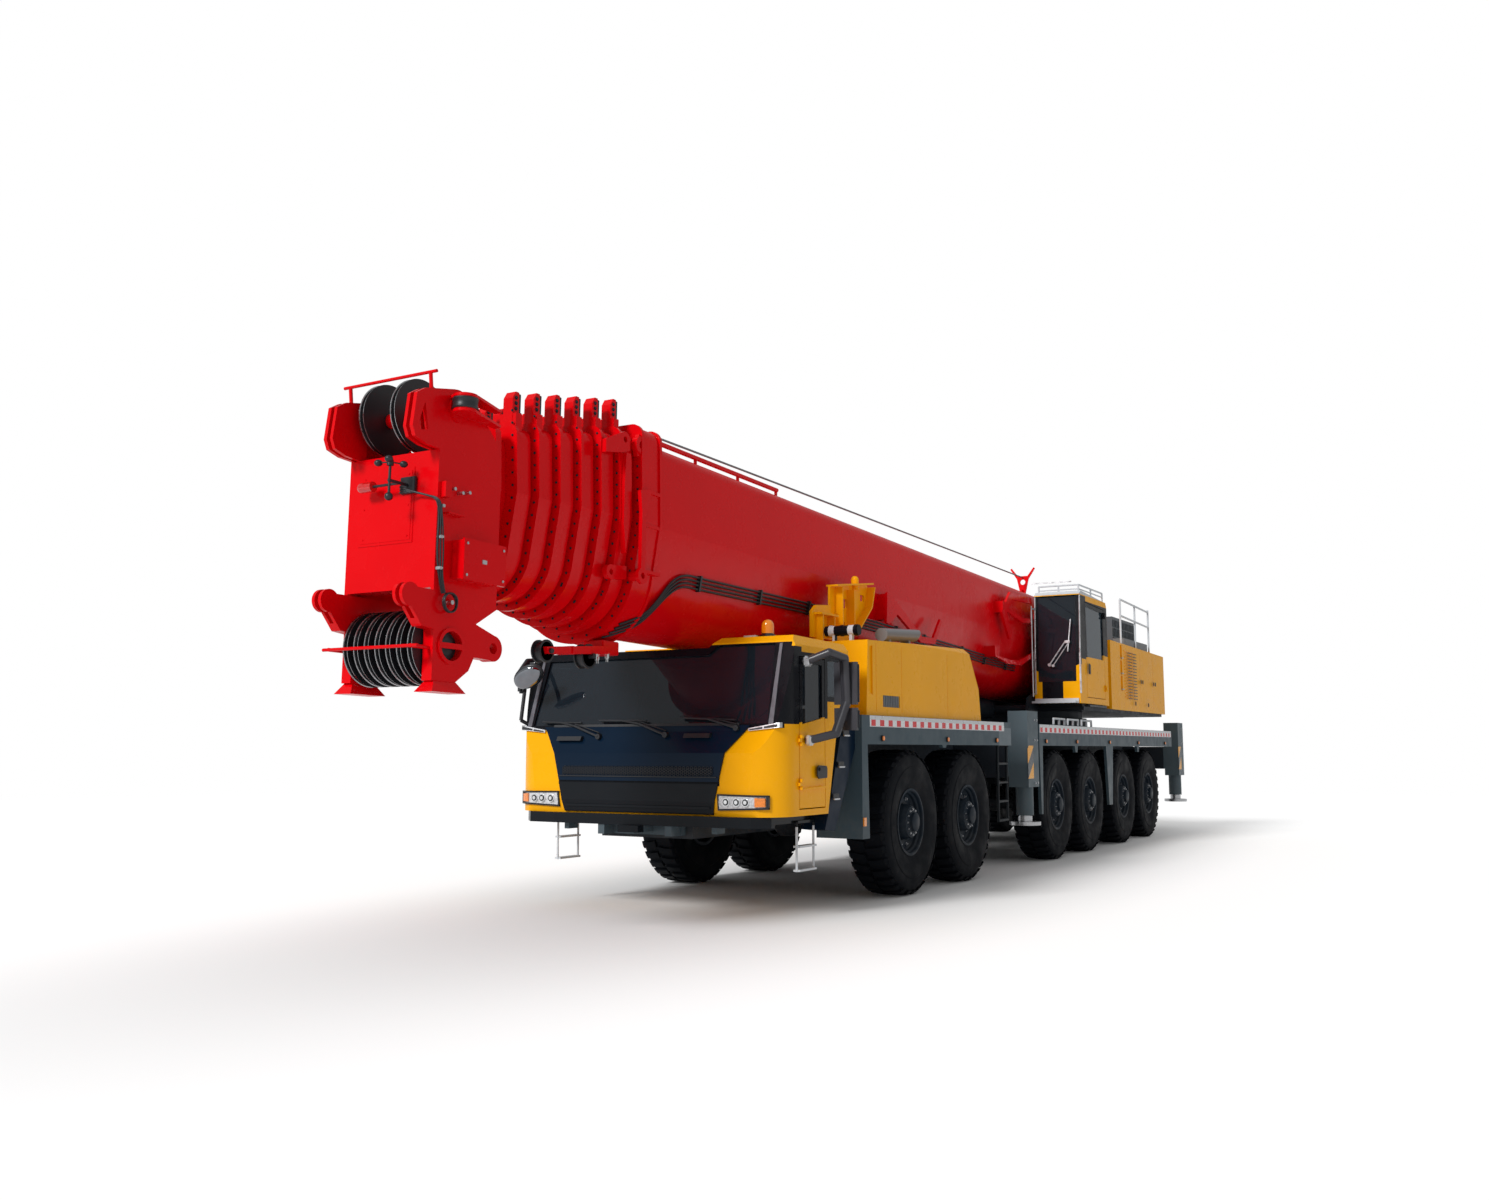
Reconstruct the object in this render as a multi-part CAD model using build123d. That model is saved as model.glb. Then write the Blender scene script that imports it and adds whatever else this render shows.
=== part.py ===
from build123d import *
import math
import os

# Mobile crane, six axles, boom lowered for the road.
# Frame: X forward, Y left, Z up, in millimetres, origin on the ground at mid length.

# Overall width, and the sizes that follow it
deck_half_width = 1500.0
cab_half_width = deck_half_width - 50.0
wheel_centre_y = deck_half_width - 248.0
kingpin_y = wheel_centre_y - 252.0
beam_fixed_end_y = kingpin_y + 50.0
fender_inner_y = deck_half_width - 490.0
ladder_y = deck_half_width - 60.0
deck_rail_y = deck_half_width - 120.0
jack_outer_y = deck_half_width
jack_inner_y = jack_outer_y - 260.0
box_half_width = jack_inner_y - 15.0
housing_half_width = cab_half_width
machine_half_width = cab_half_width
opcab_outer_y = machine_half_width - 20.0

# Wheels and axles
axle_x = [3500.0, 1850.0, -1550.0, -3180.0, -5130.0, -6780.0]
steered_axles = 2
tyre_radius = 740.0
tyre_width = 445.0
tyre_bead_radius = 330.0
tyre_bead_gap = 0.3
rim_wall = 34.0
rim_disc_thick = 26.0
rim_disc_offset = 70.0
rim_hole_count = 10
rim_hole_radius = 24.0
rim_hole_circle = 238.0
hub_radius = 178.0
hub_length = 150.0
hub_cap_radius = 96.0
hub_cap_length = 36.0
spindle_radius = 70.0
spindle_length = 300.0
spindle_clearance = 0.5
kingpin_radius = 40.0
kingpin_clearance = 0.5
kingpin_eye_radius = 80.0
kingpin_eye_height = 190.0
knuckle_arm_thick = 34.0
knuckle_gap = 6.0
knuckle_plate_thick = 40.0
knuckle_plate_size = 220.0
beam_radius = 78.0
diff_radius = 190.0
diff_width = 300.0
strut_radius = 62.0
strut_y = 440.0
engine_length = 1500.0
engine_width = 700.0
engine_height = 850.0
engine_rear_x = 2750.0
engine_floor_z = 1180.0
engine_mount = 60.0

# Carrier frame
frame_floor_z = 1000.0
frame_top_z = 1560.0
frame_half_width = 500.0
rail_width = 130.0
frame_front_x = 5120.0
nose_front_x = 6180.0
nose_rear_x = 4700.0
nose_floor_z = 690.0
nose_top_z = 870.0
frame_rear_x = -8900.0
frame_tail_x = -9723.0
cross_member = 120.0
cross_member_x = [5000.0, 2300.0, 400.0, -2400.0, -6000.0, -8300.0]
deck_top_z = 1810.0
deck_thick = 65.0
deck_edge_width = 60.0
deck_front_x = 4660.0
deck_split_front_x = 690.0
deck_split_rear_x = -660.0
deck_rear_x = -8480.0
skirt_floor_z = 1530.0
skirt_thick = 24.0
bracket_floor_z = 640.0
short_bracket_floor_z = 1440.0
bracket_top_width = 420.0
bracket_foot_width = 190.0
short_bracket_top_width = 190.0
short_bracket_foot_width = 90.0
bracket_thick = 40.0
fender_front_thick = 40.0
fender_front_foot_x = 4780.0
ladder_x = 645.0
ladder_width = 330.0
ladder_floor_z = 610.0
ladder_tube = 17.0
ladder_rungs = 5
deck_rail_radius = 15.0
deck_rail_height = 95.0
deck_rail_x = [-1960.0, -2640.0, -3340.0]
deck_rail_length = 520.0
ring_x = -4140.0
ring_radius = 1050.0
ring_inner_radius = 820.0
pedestal_radius = 1120.0
pedestal_top_z = 1960.0
pedestal_inner_radius = 760.0

# Outriggers
outrigger_front_x = -400.0
outrigger_rear_x = -9250.0
box_length = 500.0
box_floor_z = 1120.0
box_top_z = 1530.0
box_wall = 14.0
outrigger_beam_wall = 16.0
outrigger_beam_gap = 6.0
outrigger_beam_seat = 0.3
outrigger_beam_top_gap = 8.0
outrigger_beam_inner_end = 1130.0
jack_half_length = 215.0
jack_floor_z = 640.0
jack_top_z = 1975.0
jack_tube_radius = 112.0
jack_rod_radius = 70.0
jack_rod_clearance = 0.5
jack_rod_top_z = 1500.0
jack_pad_radius = 200.0
jack_pad_thick = 45.0
jack_pad_z = 515.0
jack_neck_radius = 92.0

# Carrier cab
cab_wall = 55.0
cab_rear_x = 4960.0
cab_front_x = 6360.0
cab_waist_x = 6255.0
cab_floor_z = 905.0
cab_roof_z = 2490.0
cab_low_roof_z = 2400.0
cab_waist_z = 1640.0
screen_top_x = 6010.0
screen_top_z = 2440.0
screen_half = 1290.0
cab_corner_radius = 330.0
cab_roof_step_y = 560.0
door_front_x = 5955.0
door_rear_x = 5450.0
door_gap = 10.0
door_top_z = 2300.0
hinge_pin_radius = 9.0
hinge_clearance = 0.3
hinge_length = 96.0
hinge_lug = 30.0
hinge_out = 17.0
door_hinge_z = [1180.0, 1560.0]
mask_out = 22.0
mask_half_low = 870.0
mask_half_top = 1130.0
mask_floor_z = 1200.0
mask_top_z = 1692.0
grille_out = 14.0
grille_bars = 3
grille_bar_pitch = 82.0
bumper_half = 1330.0
sill_inner = 1150.0
fold_step_x = 5625.0
fold_step_y = 1330.0
fold_step_width = 320.0
fold_step_floor_z = 410.0
fold_step_tube = 11.0
lamp_out = 14.0
beacon_x = 5710.0
beacon_y = 1000.0
beacon_radius = 58.0
seat_y = 880.0
opcab_hinge_z = [2420.0, 3560.0]
glass_inset = 18.0
glass_thick = 8.0
glass_gap = 0.3

tow_half_width = 110.0
tow_thick = 60.0
tow_z = 811.0
tow_bore_radius = 26.0

# Engine housing behind the cab
housing_wall = 32.0
housing_front_x = 4560.0
housing_rear_top_x = 1770.0
housing_rear_x = 1380.0
housing_top_z = 2640.0
housing_inner_y = 790.0
housing_valley_z = 2290.0
notch_front_x = 2300.0
notch_half_width = 340.0
panel_seams = [4330.0, 3700.0, 2431.0]
mesh_bars = 9
cradle_y = 815.0
cradle_thick = 22.0
intake_x = 4450.0
intake_z = 2655.0
intake_radius = 52.0
exhaust_front_x = 3330.0
exhaust_rear_x = 2340.0
exhaust_y = 1060.0
exhaust_z = 2745.0
exhaust_radius = 72.0

# Superstructure
floor_z = 2062.0
floor_top_z = 2112.0
side_plate_y = 662.0
side_plate_thick = 50.0
pivot_x = -6200.0
pivot_z = 2720.0
pivot_pin_radius = 85.0
pivot_clearance = 0.5
machine_inner_y = 730.0
machine_front_x = -4580.0
machine_rear_x = -8270.0
machine_top_front_z = 3210.0
machine_top_rear_z = 3160.0
machine_wall = 30.0
machine_rail_front = -5450.0
machine_rail_rear = -7380.0
panel_seam_rear = [-6480.0, -7400.0]
slot_column_x = -5290.0
louvre_x = -5560.0
louvre_pitch_x = 330.0
louvre_length = 270.0
louvre_count = 16
louvre_floor_z = 2330.0
louvre_pitch = 50.0
louvre_out = 12.0
cooler_front_x = -5760.0
cooler_rear_x = -7240.0
cooler_top_z = 3700.0
cooler_fins = 16
opcab_front_x = -2900.0
opcab_rear_x = -4490.0
opcab_inner_y = 745.0
opcab_floor_z = 2160.0
opcab_roof_z = 3840.0
opcab_wall = 50.0
opcab_sill_z = 2480.0
opcab_door_rear_x = -4300.0
roof_rail_height = 92.0
roof_rail_radius = 13.0
step_plate_reach = 190.0
step_plate_slots = 6
winch_radius = 270.0
winch_width = 720.0
winch_x = -7700.0
winch_z = 2560.0
winch_flange = 70.0

# Boom, built level along X and then tilted about its pivot
boom_slope = 1.25
boom_half_width = 600.0
boom_top = 1100.0
boom_bottom = -549.0
boom_bend = 373.0
boom_lean = 26.0
boom_top_corner = 110.0
boom_bowl_radius = 530.0
boom_wall = 13.0
section_step = 40.0
section_count = 6
boom_tail = 300.0
slide_gap = 0.5
heel_length = 120.0
base_front = 13500.0
base_collar_length = 300.0
base_collar_rise = 95.0
collar_rise = 72.0
collar_length = 175.0
collar_pitch = 213.0
section_length = 12500.0
section_rear_step = 60.0
pad_tower_width = 92.0
pad_tower_depth = 84.0
pad_tower_y = 470.0
pad_tower_height = 250.0
collar_rib = 14.0
collar_rib_length = 34.0
top_rail_y = 470.0
top_rail_v = 1165.0
top_rail_rear = 10800.0
top_rail_radius = 22.0
top_rail_posts = 4
jib_plate_y = 684.0
jib_plate_thick = 34.0
rope_fork_u = 2700.0
rope_fork_y = 400.0
pad_tower_in = 0.7
head_back = 14970.0
head_front = 15620.0
head_half_width = 437.0
head_plate = 32.0
head_top = 519.0
head_bottom = -491.0
sheave_radius = 272.0
sheave_width = 46.0
sheave_pin_radius = 55.0
sheave_clearance = 0.5
top_sheave_u = 15450.0
top_sheave_v = 843.0
top_sheave_y = [-250.0, 60.0]
low_sheave_u = 15430.0
low_sheave_v = -857.0
low_sheave_count = 7
low_sheave_pitch = 104.0
jib_pin_u = 14985.0
jib_pin_v = -835.0
jib_bore_radius = 40.0
jib_lug_reach = 268.0
cheek_round = 145.0
low_cheek_box = 92.0
low_cheek_drop = 250.0
lug_thick = 28.0
eye_window = 104.0
foot_drop = 78.0
head_mouth = 30.0
guard_u = 15700.0
guard_top_v = 1060.0
guard_low_v = -880.0
guard_radius = 12.0
roller_u = 15480.0
roller_v = 862.0
roller_y = 530.0
roller_radius = 84.0
roller_height = 92.0

# Luffing cylinder
foot_x = -2850.0
foot_z = 2080.0
eye_u = 8000.0
eye_drop = 190.0
barrel_radius = 150.0
barrel_bore = 124.0
rod_radius = 95.0
rod_gland = 0.5
cylinder_eye_radius = 120.0
cylinder_eye_width = 214.0
rod_lug_thick = 45.0
rod_lug_gap = 6.0
cylinder_pin_radius = 60.0
cylinder_pin_gap = 0.5
barrel_end_gap = 220.0


def box(x0, x1, y0, y1, z0, z1):
    """A block between two corners."""
    size = Box(abs(x1 - x0), abs(y1 - y0), abs(z1 - z0))
    return Pos((x0 + x1) / 2, (y0 + y1) / 2, (z0 + z1) / 2) * size


def side_prism(points, y0, y1):
    """An outline in X and Z, carried from y0 to y1."""
    plane = Plane(origin=(0, max(y0, y1), 0), x_dir=(1, 0, 0), z_dir=(0, -1, 0))
    return extrude(plane * Polygon(*points, align=None), amount=abs(y1 - y0), dir=(0, -1, 0))


def front_prism(points, x0, x1):
    """An outline in Y and Z, carried from x0 to x1."""
    plane = Plane(origin=(min(x0, x1), 0, 0), x_dir=(0, 1, 0), z_dir=(1, 0, 0))
    return extrude(plane * Polygon(*points, align=None), amount=abs(x1 - x0), dir=(1, 0, 0))


def plan_prism(points, z0, z1):
    """An outline in X and Y, carried from z0 to z1."""
    plane = Plane(origin=(0, 0, min(z0, z1)), x_dir=(1, 0, 0), z_dir=(0, 0, 1))
    return extrude(plane * Polygon(*points, align=None), amount=abs(z1 - z0), dir=(0, 0, 1))


def bar(start, end, radius):
    """A round bar from one point to another."""
    line = Vector(*end) - Vector(*start)
    plane = Plane(origin=start, z_dir=line)
    return extrude(plane * Circle(radius), amount=line.length)


def cross_bar(x, z, y0, y1, radius):
    """A round bar along Y."""
    return bar((x, min(y0, y1), z), (x, max(y0, y1), z), radius)


def post(x, y, z0, z1, radius):
    """A round bar along Z."""
    return bar((x, y, min(z0, z1)), (x, y, max(z0, z1)), radius)


def ring_profile(points):
    """A solid turned about the Y axis from an outline of (radius, y)."""
    outline = Polygon(*points, align=None)
    return revolve(Plane.XY * outline, Axis.Y)


def mirrored(shape):
    """The same piece on the other side of the crane."""
    return mirror(shape, about=Plane.XZ)


def joined(pieces):
    """All pieces fused."""
    total = pieces[0]
    for piece in pieces[1:]:
        total = total + piece
    return total


def write(name, *pieces):
    """One STEP file for one named piece."""
    solids = []
    for piece in pieces:
        solids.extend(piece.solids())
    shape = solids[0] if len(solids) == 1 else Compound(children=solids)
    export_step(shape, "parts/" + name + ".step")


# Wheels, knuckles and axles

def tyre():
    """A wide single tyre, centred on the origin, its axle along Y."""
    half = tyre_width / 2
    bead = tyre_bead_radius
    crown = tyre_radius
    outline = [
        (bead, -half + 48),
        (bead + 60, -half + 14),
        (bead + 210, -half),
        (crown - 70, -half + 18),
        (crown - 12, -half + 52),
        (crown, -half + 90),
        (crown, half - 90),
        (crown - 12, half - 52),
        (crown - 70, half - 18),
        (bead + 210, half),
        (bead + 60, half - 14),
        (bead, half - 48),
    ]
    return ring_profile(outline)


def rim():
    """The rim, its disc and the reduction hub, outboard towards +Y."""
    half = tyre_width / 2
    outer = tyre_bead_radius - tyre_bead_gap
    inner = outer - rim_wall
    disc = rim_disc_offset
    reach = disc + hub_length
    outline = [
        (outer, -half + 30),
        (outer, half - 30),
        (inner, half - 30),
        (inner, disc + rim_disc_thick),
        (hub_radius, disc + rim_disc_thick),
        (hub_radius - 14, reach),
        (hub_cap_radius, reach),
        (hub_cap_radius, reach + hub_cap_length),
        (0, reach + hub_cap_length),
        (0, disc),
        (inner, disc),
        (inner, -half + 30),
    ]
    body = ring_profile(outline)
    hub = ring_profile([(0, -40), (0, disc + 1), (hub_radius - 30, disc + 1), (hub_radius - 30, -40)])
    body = body + hub
    for i in range(rim_hole_count):
        angle = 2 * math.pi * i / rim_hole_count
        x = rim_hole_circle * math.cos(angle)
        z = rim_hole_circle * math.sin(angle)
        body = body - cross_bar(x, z, disc - 5, disc + rim_disc_thick + 5, rim_hole_radius)
    depth = spindle_length - (wheel_centre_y - kingpin_y)
    bore = spindle_radius + spindle_clearance
    return body - cross_bar(0, 0, -60, depth + spindle_clearance, bore)


def knuckle():
    """A steering knuckle about a kingpin at the origin, outboard towards +Y."""
    half_eye = kingpin_eye_height / 2
    arm_floor = half_eye + knuckle_gap
    arm_top = arm_floor + knuckle_arm_thick
    plate_y = kingpin_eye_radius + knuckle_gap + 4
    half = knuckle_plate_size / 2
    plate = box(-half, half, plate_y, plate_y + knuckle_plate_thick, -arm_top, arm_top)
    pieces = [plate]
    for side in (-1, 1):
        arm = box(-half + 30, half - 30, 0, plate_y + 1, side * arm_floor, side * arm_top)
        boss = post(0, 0, side * arm_floor, side * arm_top, half - 30)
        pieces.append(arm + boss)
    pieces.append(post(0, 0, -arm_top, arm_top, kingpin_radius))
    pieces.append(cross_bar(0, 0, plate_y, spindle_length, spindle_radius))
    return joined(pieces)


def axle(steered):
    """One axle beam at the origin, with its final drive and spring struts."""
    end = kingpin_y if steered else beam_fixed_end_y
    beam = cross_bar(0, 0, -end, end, beam_radius)
    drive = ring_profile([
        (0, -diff_width / 2),
        (diff_radius * 0.6, -diff_width / 2),
        (diff_radius, -diff_width / 5),
        (diff_radius, diff_width / 5),
        (diff_radius * 0.6, diff_width / 2),
        (0, diff_width / 2),
    ])
    beam = beam + drive
    top = frame_floor_z - tyre_radius
    for side in (-1, 1):
        beam = beam + post(0, side * strut_y, 0, top, strut_radius)
        if steered:
            half = kingpin_eye_height / 2
            beam = beam + post(0, side * kingpin_y, -half, half, kingpin_eye_radius)
            bore = kingpin_radius + kingpin_clearance
            beam = beam - post(0, side * kingpin_y, -half - 1, half + 1, bore)
        else:
            tip = kingpin_y + spindle_length
            beam = beam + cross_bar(0, 0, side * (end - 5), side * tip, spindle_radius)
    return beam


def make_running_gear():
    wheel_parts = [tyre(), rim()]
    for i, x in enumerate(axle_x):
        for side, word in ((1, "left"), (-1, "right")):
            place = Pos(x, side * wheel_centre_y, tyre_radius)
            parts = [p if side == 1 else mirrored(p) for p in wheel_parts]
            write(f"wheel_{i + 1}_{word}", *[place * p for p in parts])
            if i < steered_axles:
                turned = knuckle() if side == 1 else mirrored(knuckle())
                write(f"knuckle_{i + 1}_{word}", Pos(x, side * kingpin_y, tyre_radius) * turned)
    beams = []
    for i, x in enumerate(axle_x):
        beams.append(Pos(x, 0, tyre_radius) * axle(i < steered_axles))
    engine_top = engine_floor_z + engine_height
    half = engine_width / 2
    block = box(engine_rear_x, engine_rear_x + engine_length, -half, half, engine_floor_z, engine_top)
    rail_in = frame_half_width - rail_width
    for x in (engine_rear_x + 200, engine_rear_x + engine_length - 200):
        mount = box(x - engine_mount, x + engine_mount, -rail_in, rail_in, engine_floor_z + 60, engine_floor_z + 160)
        block = block + mount
    write("driveline", *beams, block)


# Carrier frame, deck and outriggers

def outrigger_sleeve(x):
    """A cross box with two beam cells, side by side."""
    half = box_length / 2
    sleeve = box(x - half, x + half, -box_half_width, box_half_width, box_floor_z, box_top_z)
    for side in (-1, 1):
        near = x + side * box_wall / 2
        far = x + side * (half - box_wall)
        cell = box(near, far, -box_half_width - 1, box_half_width + 1,
                   box_floor_z + box_wall, box_top_z - box_wall)
        sleeve = sleeve - cell
    return sleeve


def make_frame():
    rail_in = frame_half_width - rail_width
    pieces = []
    for side in (-1, 1):
        outline = [
            (frame_rear_x, frame_floor_z),
            (frame_rear_x, frame_top_z),
            (frame_front_x, frame_top_z),
            (frame_front_x, nose_top_z),
            (nose_front_x, nose_top_z),
            (nose_front_x, nose_floor_z),
            (nose_rear_x, nose_floor_z),
            (nose_rear_x - 250, frame_floor_z),
        ]
        pieces.append(side_prism(outline, side * rail_in, side * frame_half_width))
    for x in cross_member_x:
        half = cross_member / 2
        pieces.append(box(x - half, x + half, -rail_in - 1, rail_in + 1, frame_floor_z + 60, frame_top_z - 120))
    pieces.append(box(nose_front_x - 160, nose_front_x, -rail_in - 1, rail_in + 1, nose_floor_z, nose_top_z))
    pedestal = post(ring_x, 0, frame_top_z - 200, pedestal_top_z, pedestal_radius)
    pedestal = pedestal - post(ring_x, 0, frame_top_z - 300, pedestal_top_z + 1, pedestal_inner_radius)
    rails = joined(pieces)
    rear_half = box_length / 2
    for x in (outrigger_front_x, outrigger_rear_x):
        cut = box(x - rear_half, x + rear_half, -box_half_width, box_half_width, box_floor_z, box_top_z)
        rails = rails - cut + outrigger_sleeve(x)
    tail = box(outrigger_rear_x - rear_half, frame_rear_x + 1, -frame_half_width, frame_half_width,
               frame_floor_z, box_floor_z + 1)
    top = box(outrigger_rear_x - rear_half, frame_rear_x + 1, -frame_half_width, frame_half_width,
              box_top_z - 1, frame_top_z)
    behind = outrigger_rear_x - rear_half + 1
    end = box(frame_tail_x, frame_tail_x + rail_width, -frame_half_width, frame_half_width,
              frame_floor_z, frame_top_z)
    for side in (-1, 1):
        end = end + box(frame_tail_x, behind, side * rail_in, side * frame_half_width, frame_floor_z, frame_top_z)
    write("chassis_frame", rails + pedestal + tail + top + end)


def trapezoid(x, top_width, foot_width, floor_z, side):
    """A side bracket that narrows downwards."""
    points = [
        (x - top_width / 2, skirt_floor_z + 60),
        (x + top_width / 2, skirt_floor_z + 60),
        (x + foot_width / 2, floor_z),
        (x - foot_width / 2, floor_z),
    ]
    outer = side * deck_half_width
    inner = side * (deck_half_width - bracket_thick)
    return side_prism(points, inner, outer)


def deck_half(front, rear, side):
    """One side of the deck with its edge and skirt."""
    inner = side * (frame_half_width - 20)
    outer = side * deck_half_width
    plate = box(rear, front, inner, outer, deck_top_z - deck_thick, deck_top_z - deck_thick + 24)
    edge = box(rear, front, side * (deck_half_width - deck_edge_width), outer,
               deck_top_z - deck_thick, deck_top_z)
    skirt = box(rear, front, side * (deck_half_width - skirt_thick), outer, skirt_floor_z, deck_top_z - 1)
    return plate + edge + skirt


def ladder(side):
    """An access ladder that hangs under the deck edge."""
    y = side * ladder_y
    half = ladder_width / 2
    pieces = []
    for x in (ladder_x - half, ladder_x + half):
        pieces.append(post(x, y, ladder_floor_z, deck_top_z - deck_thick + 10, ladder_tube))
    span = deck_top_z - deck_thick - ladder_floor_z
    for i in range(ladder_rungs):
        z = ladder_floor_z + ladder_tube + i * span / ladder_rungs
        pieces.append(bar((ladder_x - half, y, z), (ladder_x + half, y, z), ladder_tube))
    return joined(pieces)


def deck_rail(x, side):
    """A low grab rail beside the slewing ring."""
    y = side * deck_rail_y
    half = deck_rail_length / 2
    top = deck_top_z + deck_rail_height
    pieces = [bar((x - half, y, top), (x + half, y, top), deck_rail_radius)]
    for px in (x - half, x + half, x):
        pieces.append(post(px, y, deck_top_z - deck_thick + 10, top, deck_rail_radius))
    return joined(pieces)


def fender_front(side):
    """The panel ahead of the first wheel, behind the cab steps."""
    points = [
        (deck_front_x, deck_top_z - 1),
        (fender_front_foot_x, deck_top_z - 1),
        (fender_front_foot_x, bracket_floor_z),
        (fender_front_foot_x - fender_front_thick - 120, bracket_floor_z),
    ]
    return side_prism(points, side * fender_inner_y, side * deck_half_width)


def cab_steps(side):
    """The stepped panel between the cab and the first fender."""
    outline = [
        (fender_front_foot_x - 1, 1738),
        (5050, 1738),
        (5370, 880),
        (5430, 760),
        (5230, 740),
        (fender_front_foot_x - 1, 1500),
    ]
    return side_prism(outline, side * 1180, side * (cab_half_width - 20))


def make_deck():
    parts = []
    for side in (-1, 1):
        front = deck_half(deck_front_x, deck_split_front_x - 230, side) + fender_front(side) + ladder(side)
        front = front + cab_steps(side)
        mid = (axle_x[0] + axle_x[1]) / 2
        front = front + trapezoid(mid, short_bracket_top_width, short_bracket_foot_width,
                                  short_bracket_floor_z + 60, side)
        rear = deck_half(deck_split_rear_x, deck_rear_x, side)
        for i in (2, 4):
            mid = (axle_x[i] + axle_x[i + 1]) / 2
            rear = rear + trapezoid(mid, short_bracket_top_width, short_bracket_foot_width,
                                    short_bracket_floor_z, side)
        mid = (axle_x[3] + axle_x[4]) / 2
        rear = rear + trapezoid(mid, bracket_top_width, bracket_foot_width, bracket_floor_z, side)
        rear = rear + trapezoid(deck_split_rear_x - 75, 150, 70, bracket_floor_z, side)
        for x in deck_rail_x:
            rear = rear + deck_rail(x, side)
        parts.extend([front, rear])
    total = joined(parts)
    around = post(ring_x, 0, deck_top_z - deck_thick - 10, deck_top_z + 10, pedestal_radius)
    total = total - around
    bridge_front = box(deck_split_rear_x, ring_x, -frame_half_width, frame_half_width,
                       deck_top_z - deck_thick, deck_top_z - deck_thick + 24)
    bridge_rear = box(ring_x, deck_rear_x, -frame_half_width, frame_half_width,
                      deck_top_z - deck_thick, deck_top_z - deck_thick + 24)
    total = total + ((bridge_front + bridge_rear) - around)
    stools = []
    for x in (4450.0, 1300.0, -900.0, -2300.0, -6300.0, -8350.0):
        for side in (-1, 1):
            stools.append(box(x - 60, x + 60, side * (frame_half_width - 110), side * (frame_half_width - 10),
                              frame_top_z, deck_top_z - deck_thick))
    write("carrier_deck", joined([total] + stools))


def outrigger_beam(x, side):
    """A sliding beam with the jack housing at its outer end."""
    half = box_length / 2
    near = x + side * (box_wall / 2 + outrigger_beam_gap)
    far = x + side * (half - box_wall - outrigger_beam_gap)
    low = box_floor_z + box_wall + outrigger_beam_seat
    high = box_top_z - box_wall - outrigger_beam_top_gap
    wall = outrigger_beam_wall
    outer = side * (jack_inner_y + 1)
    inner = -side * outrigger_beam_inner_end
    beam = box(near, far, inner, outer, low, high)
    hollow = box(near + side * wall, far - side * wall, inner - side * 1, outer - side * 40,
                 low + wall, high - wall)
    beam = beam - hollow
    mid_y = side * (jack_inner_y + jack_outer_y) / 2
    head = box(x - jack_half_length, x + jack_half_length, side * jack_inner_y, side * jack_outer_y,
               box_floor_z - 120, jack_top_z)
    sleeve = post(x, mid_y, jack_floor_z, box_floor_z, jack_tube_radius)
    body = beam + head + sleeve
    bore = jack_rod_radius + jack_rod_clearance
    return body - post(x, mid_y, jack_floor_z - 1, jack_rod_top_z + 20, bore)


def outrigger_jack(x, side):
    """The jack rod with its pad."""
    mid_y = side * (jack_inner_y + jack_outer_y) / 2
    rod = post(x, mid_y, jack_pad_z, jack_rod_top_z, jack_rod_radius)
    pad = post(x, mid_y, jack_pad_z, jack_pad_z + jack_pad_thick, jack_pad_radius)
    neck = post(x, mid_y, jack_pad_z + jack_pad_thick - 1, jack_floor_z - 8, jack_neck_radius)
    return rod + pad + neck


def make_outriggers():
    for x, place in ((outrigger_front_x, "front"), (outrigger_rear_x, "rear")):
        for side, word in ((1, "left"), (-1, "right")):
            write(f"outrigger_beam_{place}_{word}", outrigger_beam(x, side))
            write(f"outrigger_jack_{place}_{word}", outrigger_jack(x, side))


# Carrier cab

def cab_body(inset):
    """The cab's outer form, moved inwards by inset."""
    side_points = [
        (cab_rear_x + inset, 1765 + inset),
        (cab_rear_x + inset, cab_roof_z - 20 - inset),
        (screen_top_x - 70 - inset, cab_roof_z - inset),
        (screen_top_x - inset, screen_top_z - inset),
        (cab_waist_x - inset, cab_waist_z),
        (cab_front_x - 12 - inset, cab_waist_z - 190),
        (cab_front_x - inset, cab_floor_z + 140),
        (cab_front_x - 30 - inset, cab_floor_z + inset),
        (door_rear_x - 50 + inset, cab_floor_z + inset),
        (door_rear_x - 260 + inset, 1750 + inset),
    ]
    half = cab_half_width - inset
    high = cab_roof_z - inset
    low = cab_low_roof_z - inset
    step = cab_roof_step_y + inset
    front_points = [
        (-half, cab_floor_z),
        (half, cab_floor_z),
        (half, high - 90),
        (half - 60, high),
        (step + 90, high),
        (step, low),
        (40 - half, low),
        (-half, low - 40),
    ]
    body = side_prism(side_points, -half, half)
    body = body & front_prism(front_points, cab_rear_x - 10, cab_front_x + 10)
    front = cab_front_x - inset
    mid_x = (cab_rear_x - 400 + front) / 2
    length = front - (cab_rear_x - 400)
    plan = RectangleRounded(length, 2 * half, cab_corner_radius - inset)
    block = extrude(Plane(origin=(mid_x, 0, cab_floor_z - 10)) * plan, amount=cab_roof_z)
    return body & block


def screen_cutter(margin):
    """The windscreen opening, seen from the front."""
    m = margin
    points = [
        (m - screen_half, cab_waist_z + 65 + m),
        (screen_half - m, cab_waist_z + 65 + m),
        (screen_half - 40 - m, screen_top_z - 25 - m),
        (cab_roof_step_y + 100 + m, screen_top_z - 25 - m),
        (cab_roof_step_y + m, cab_low_roof_z - 70 - m),
        (m + 40 - screen_half, cab_low_roof_z - 70 - m),
    ]
    return front_prism(points, screen_top_x - 330, cab_front_x + 50)


def door_cutter(margin, side):
    """The side door's outline, seen from the side."""
    m = margin
    points = [
        (door_rear_x + m, cab_floor_z + cab_wall + m),
        (door_front_x - m, cab_floor_z + cab_wall + m),
        (door_front_x - m, cab_waist_z + 60),
        (screen_top_x - 60 - m, door_top_z - m),
        (door_rear_x + m, door_top_z - m),
    ]
    return side_prism(points, side * (cab_half_width - 150), side * (cab_half_width + 50))


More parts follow.
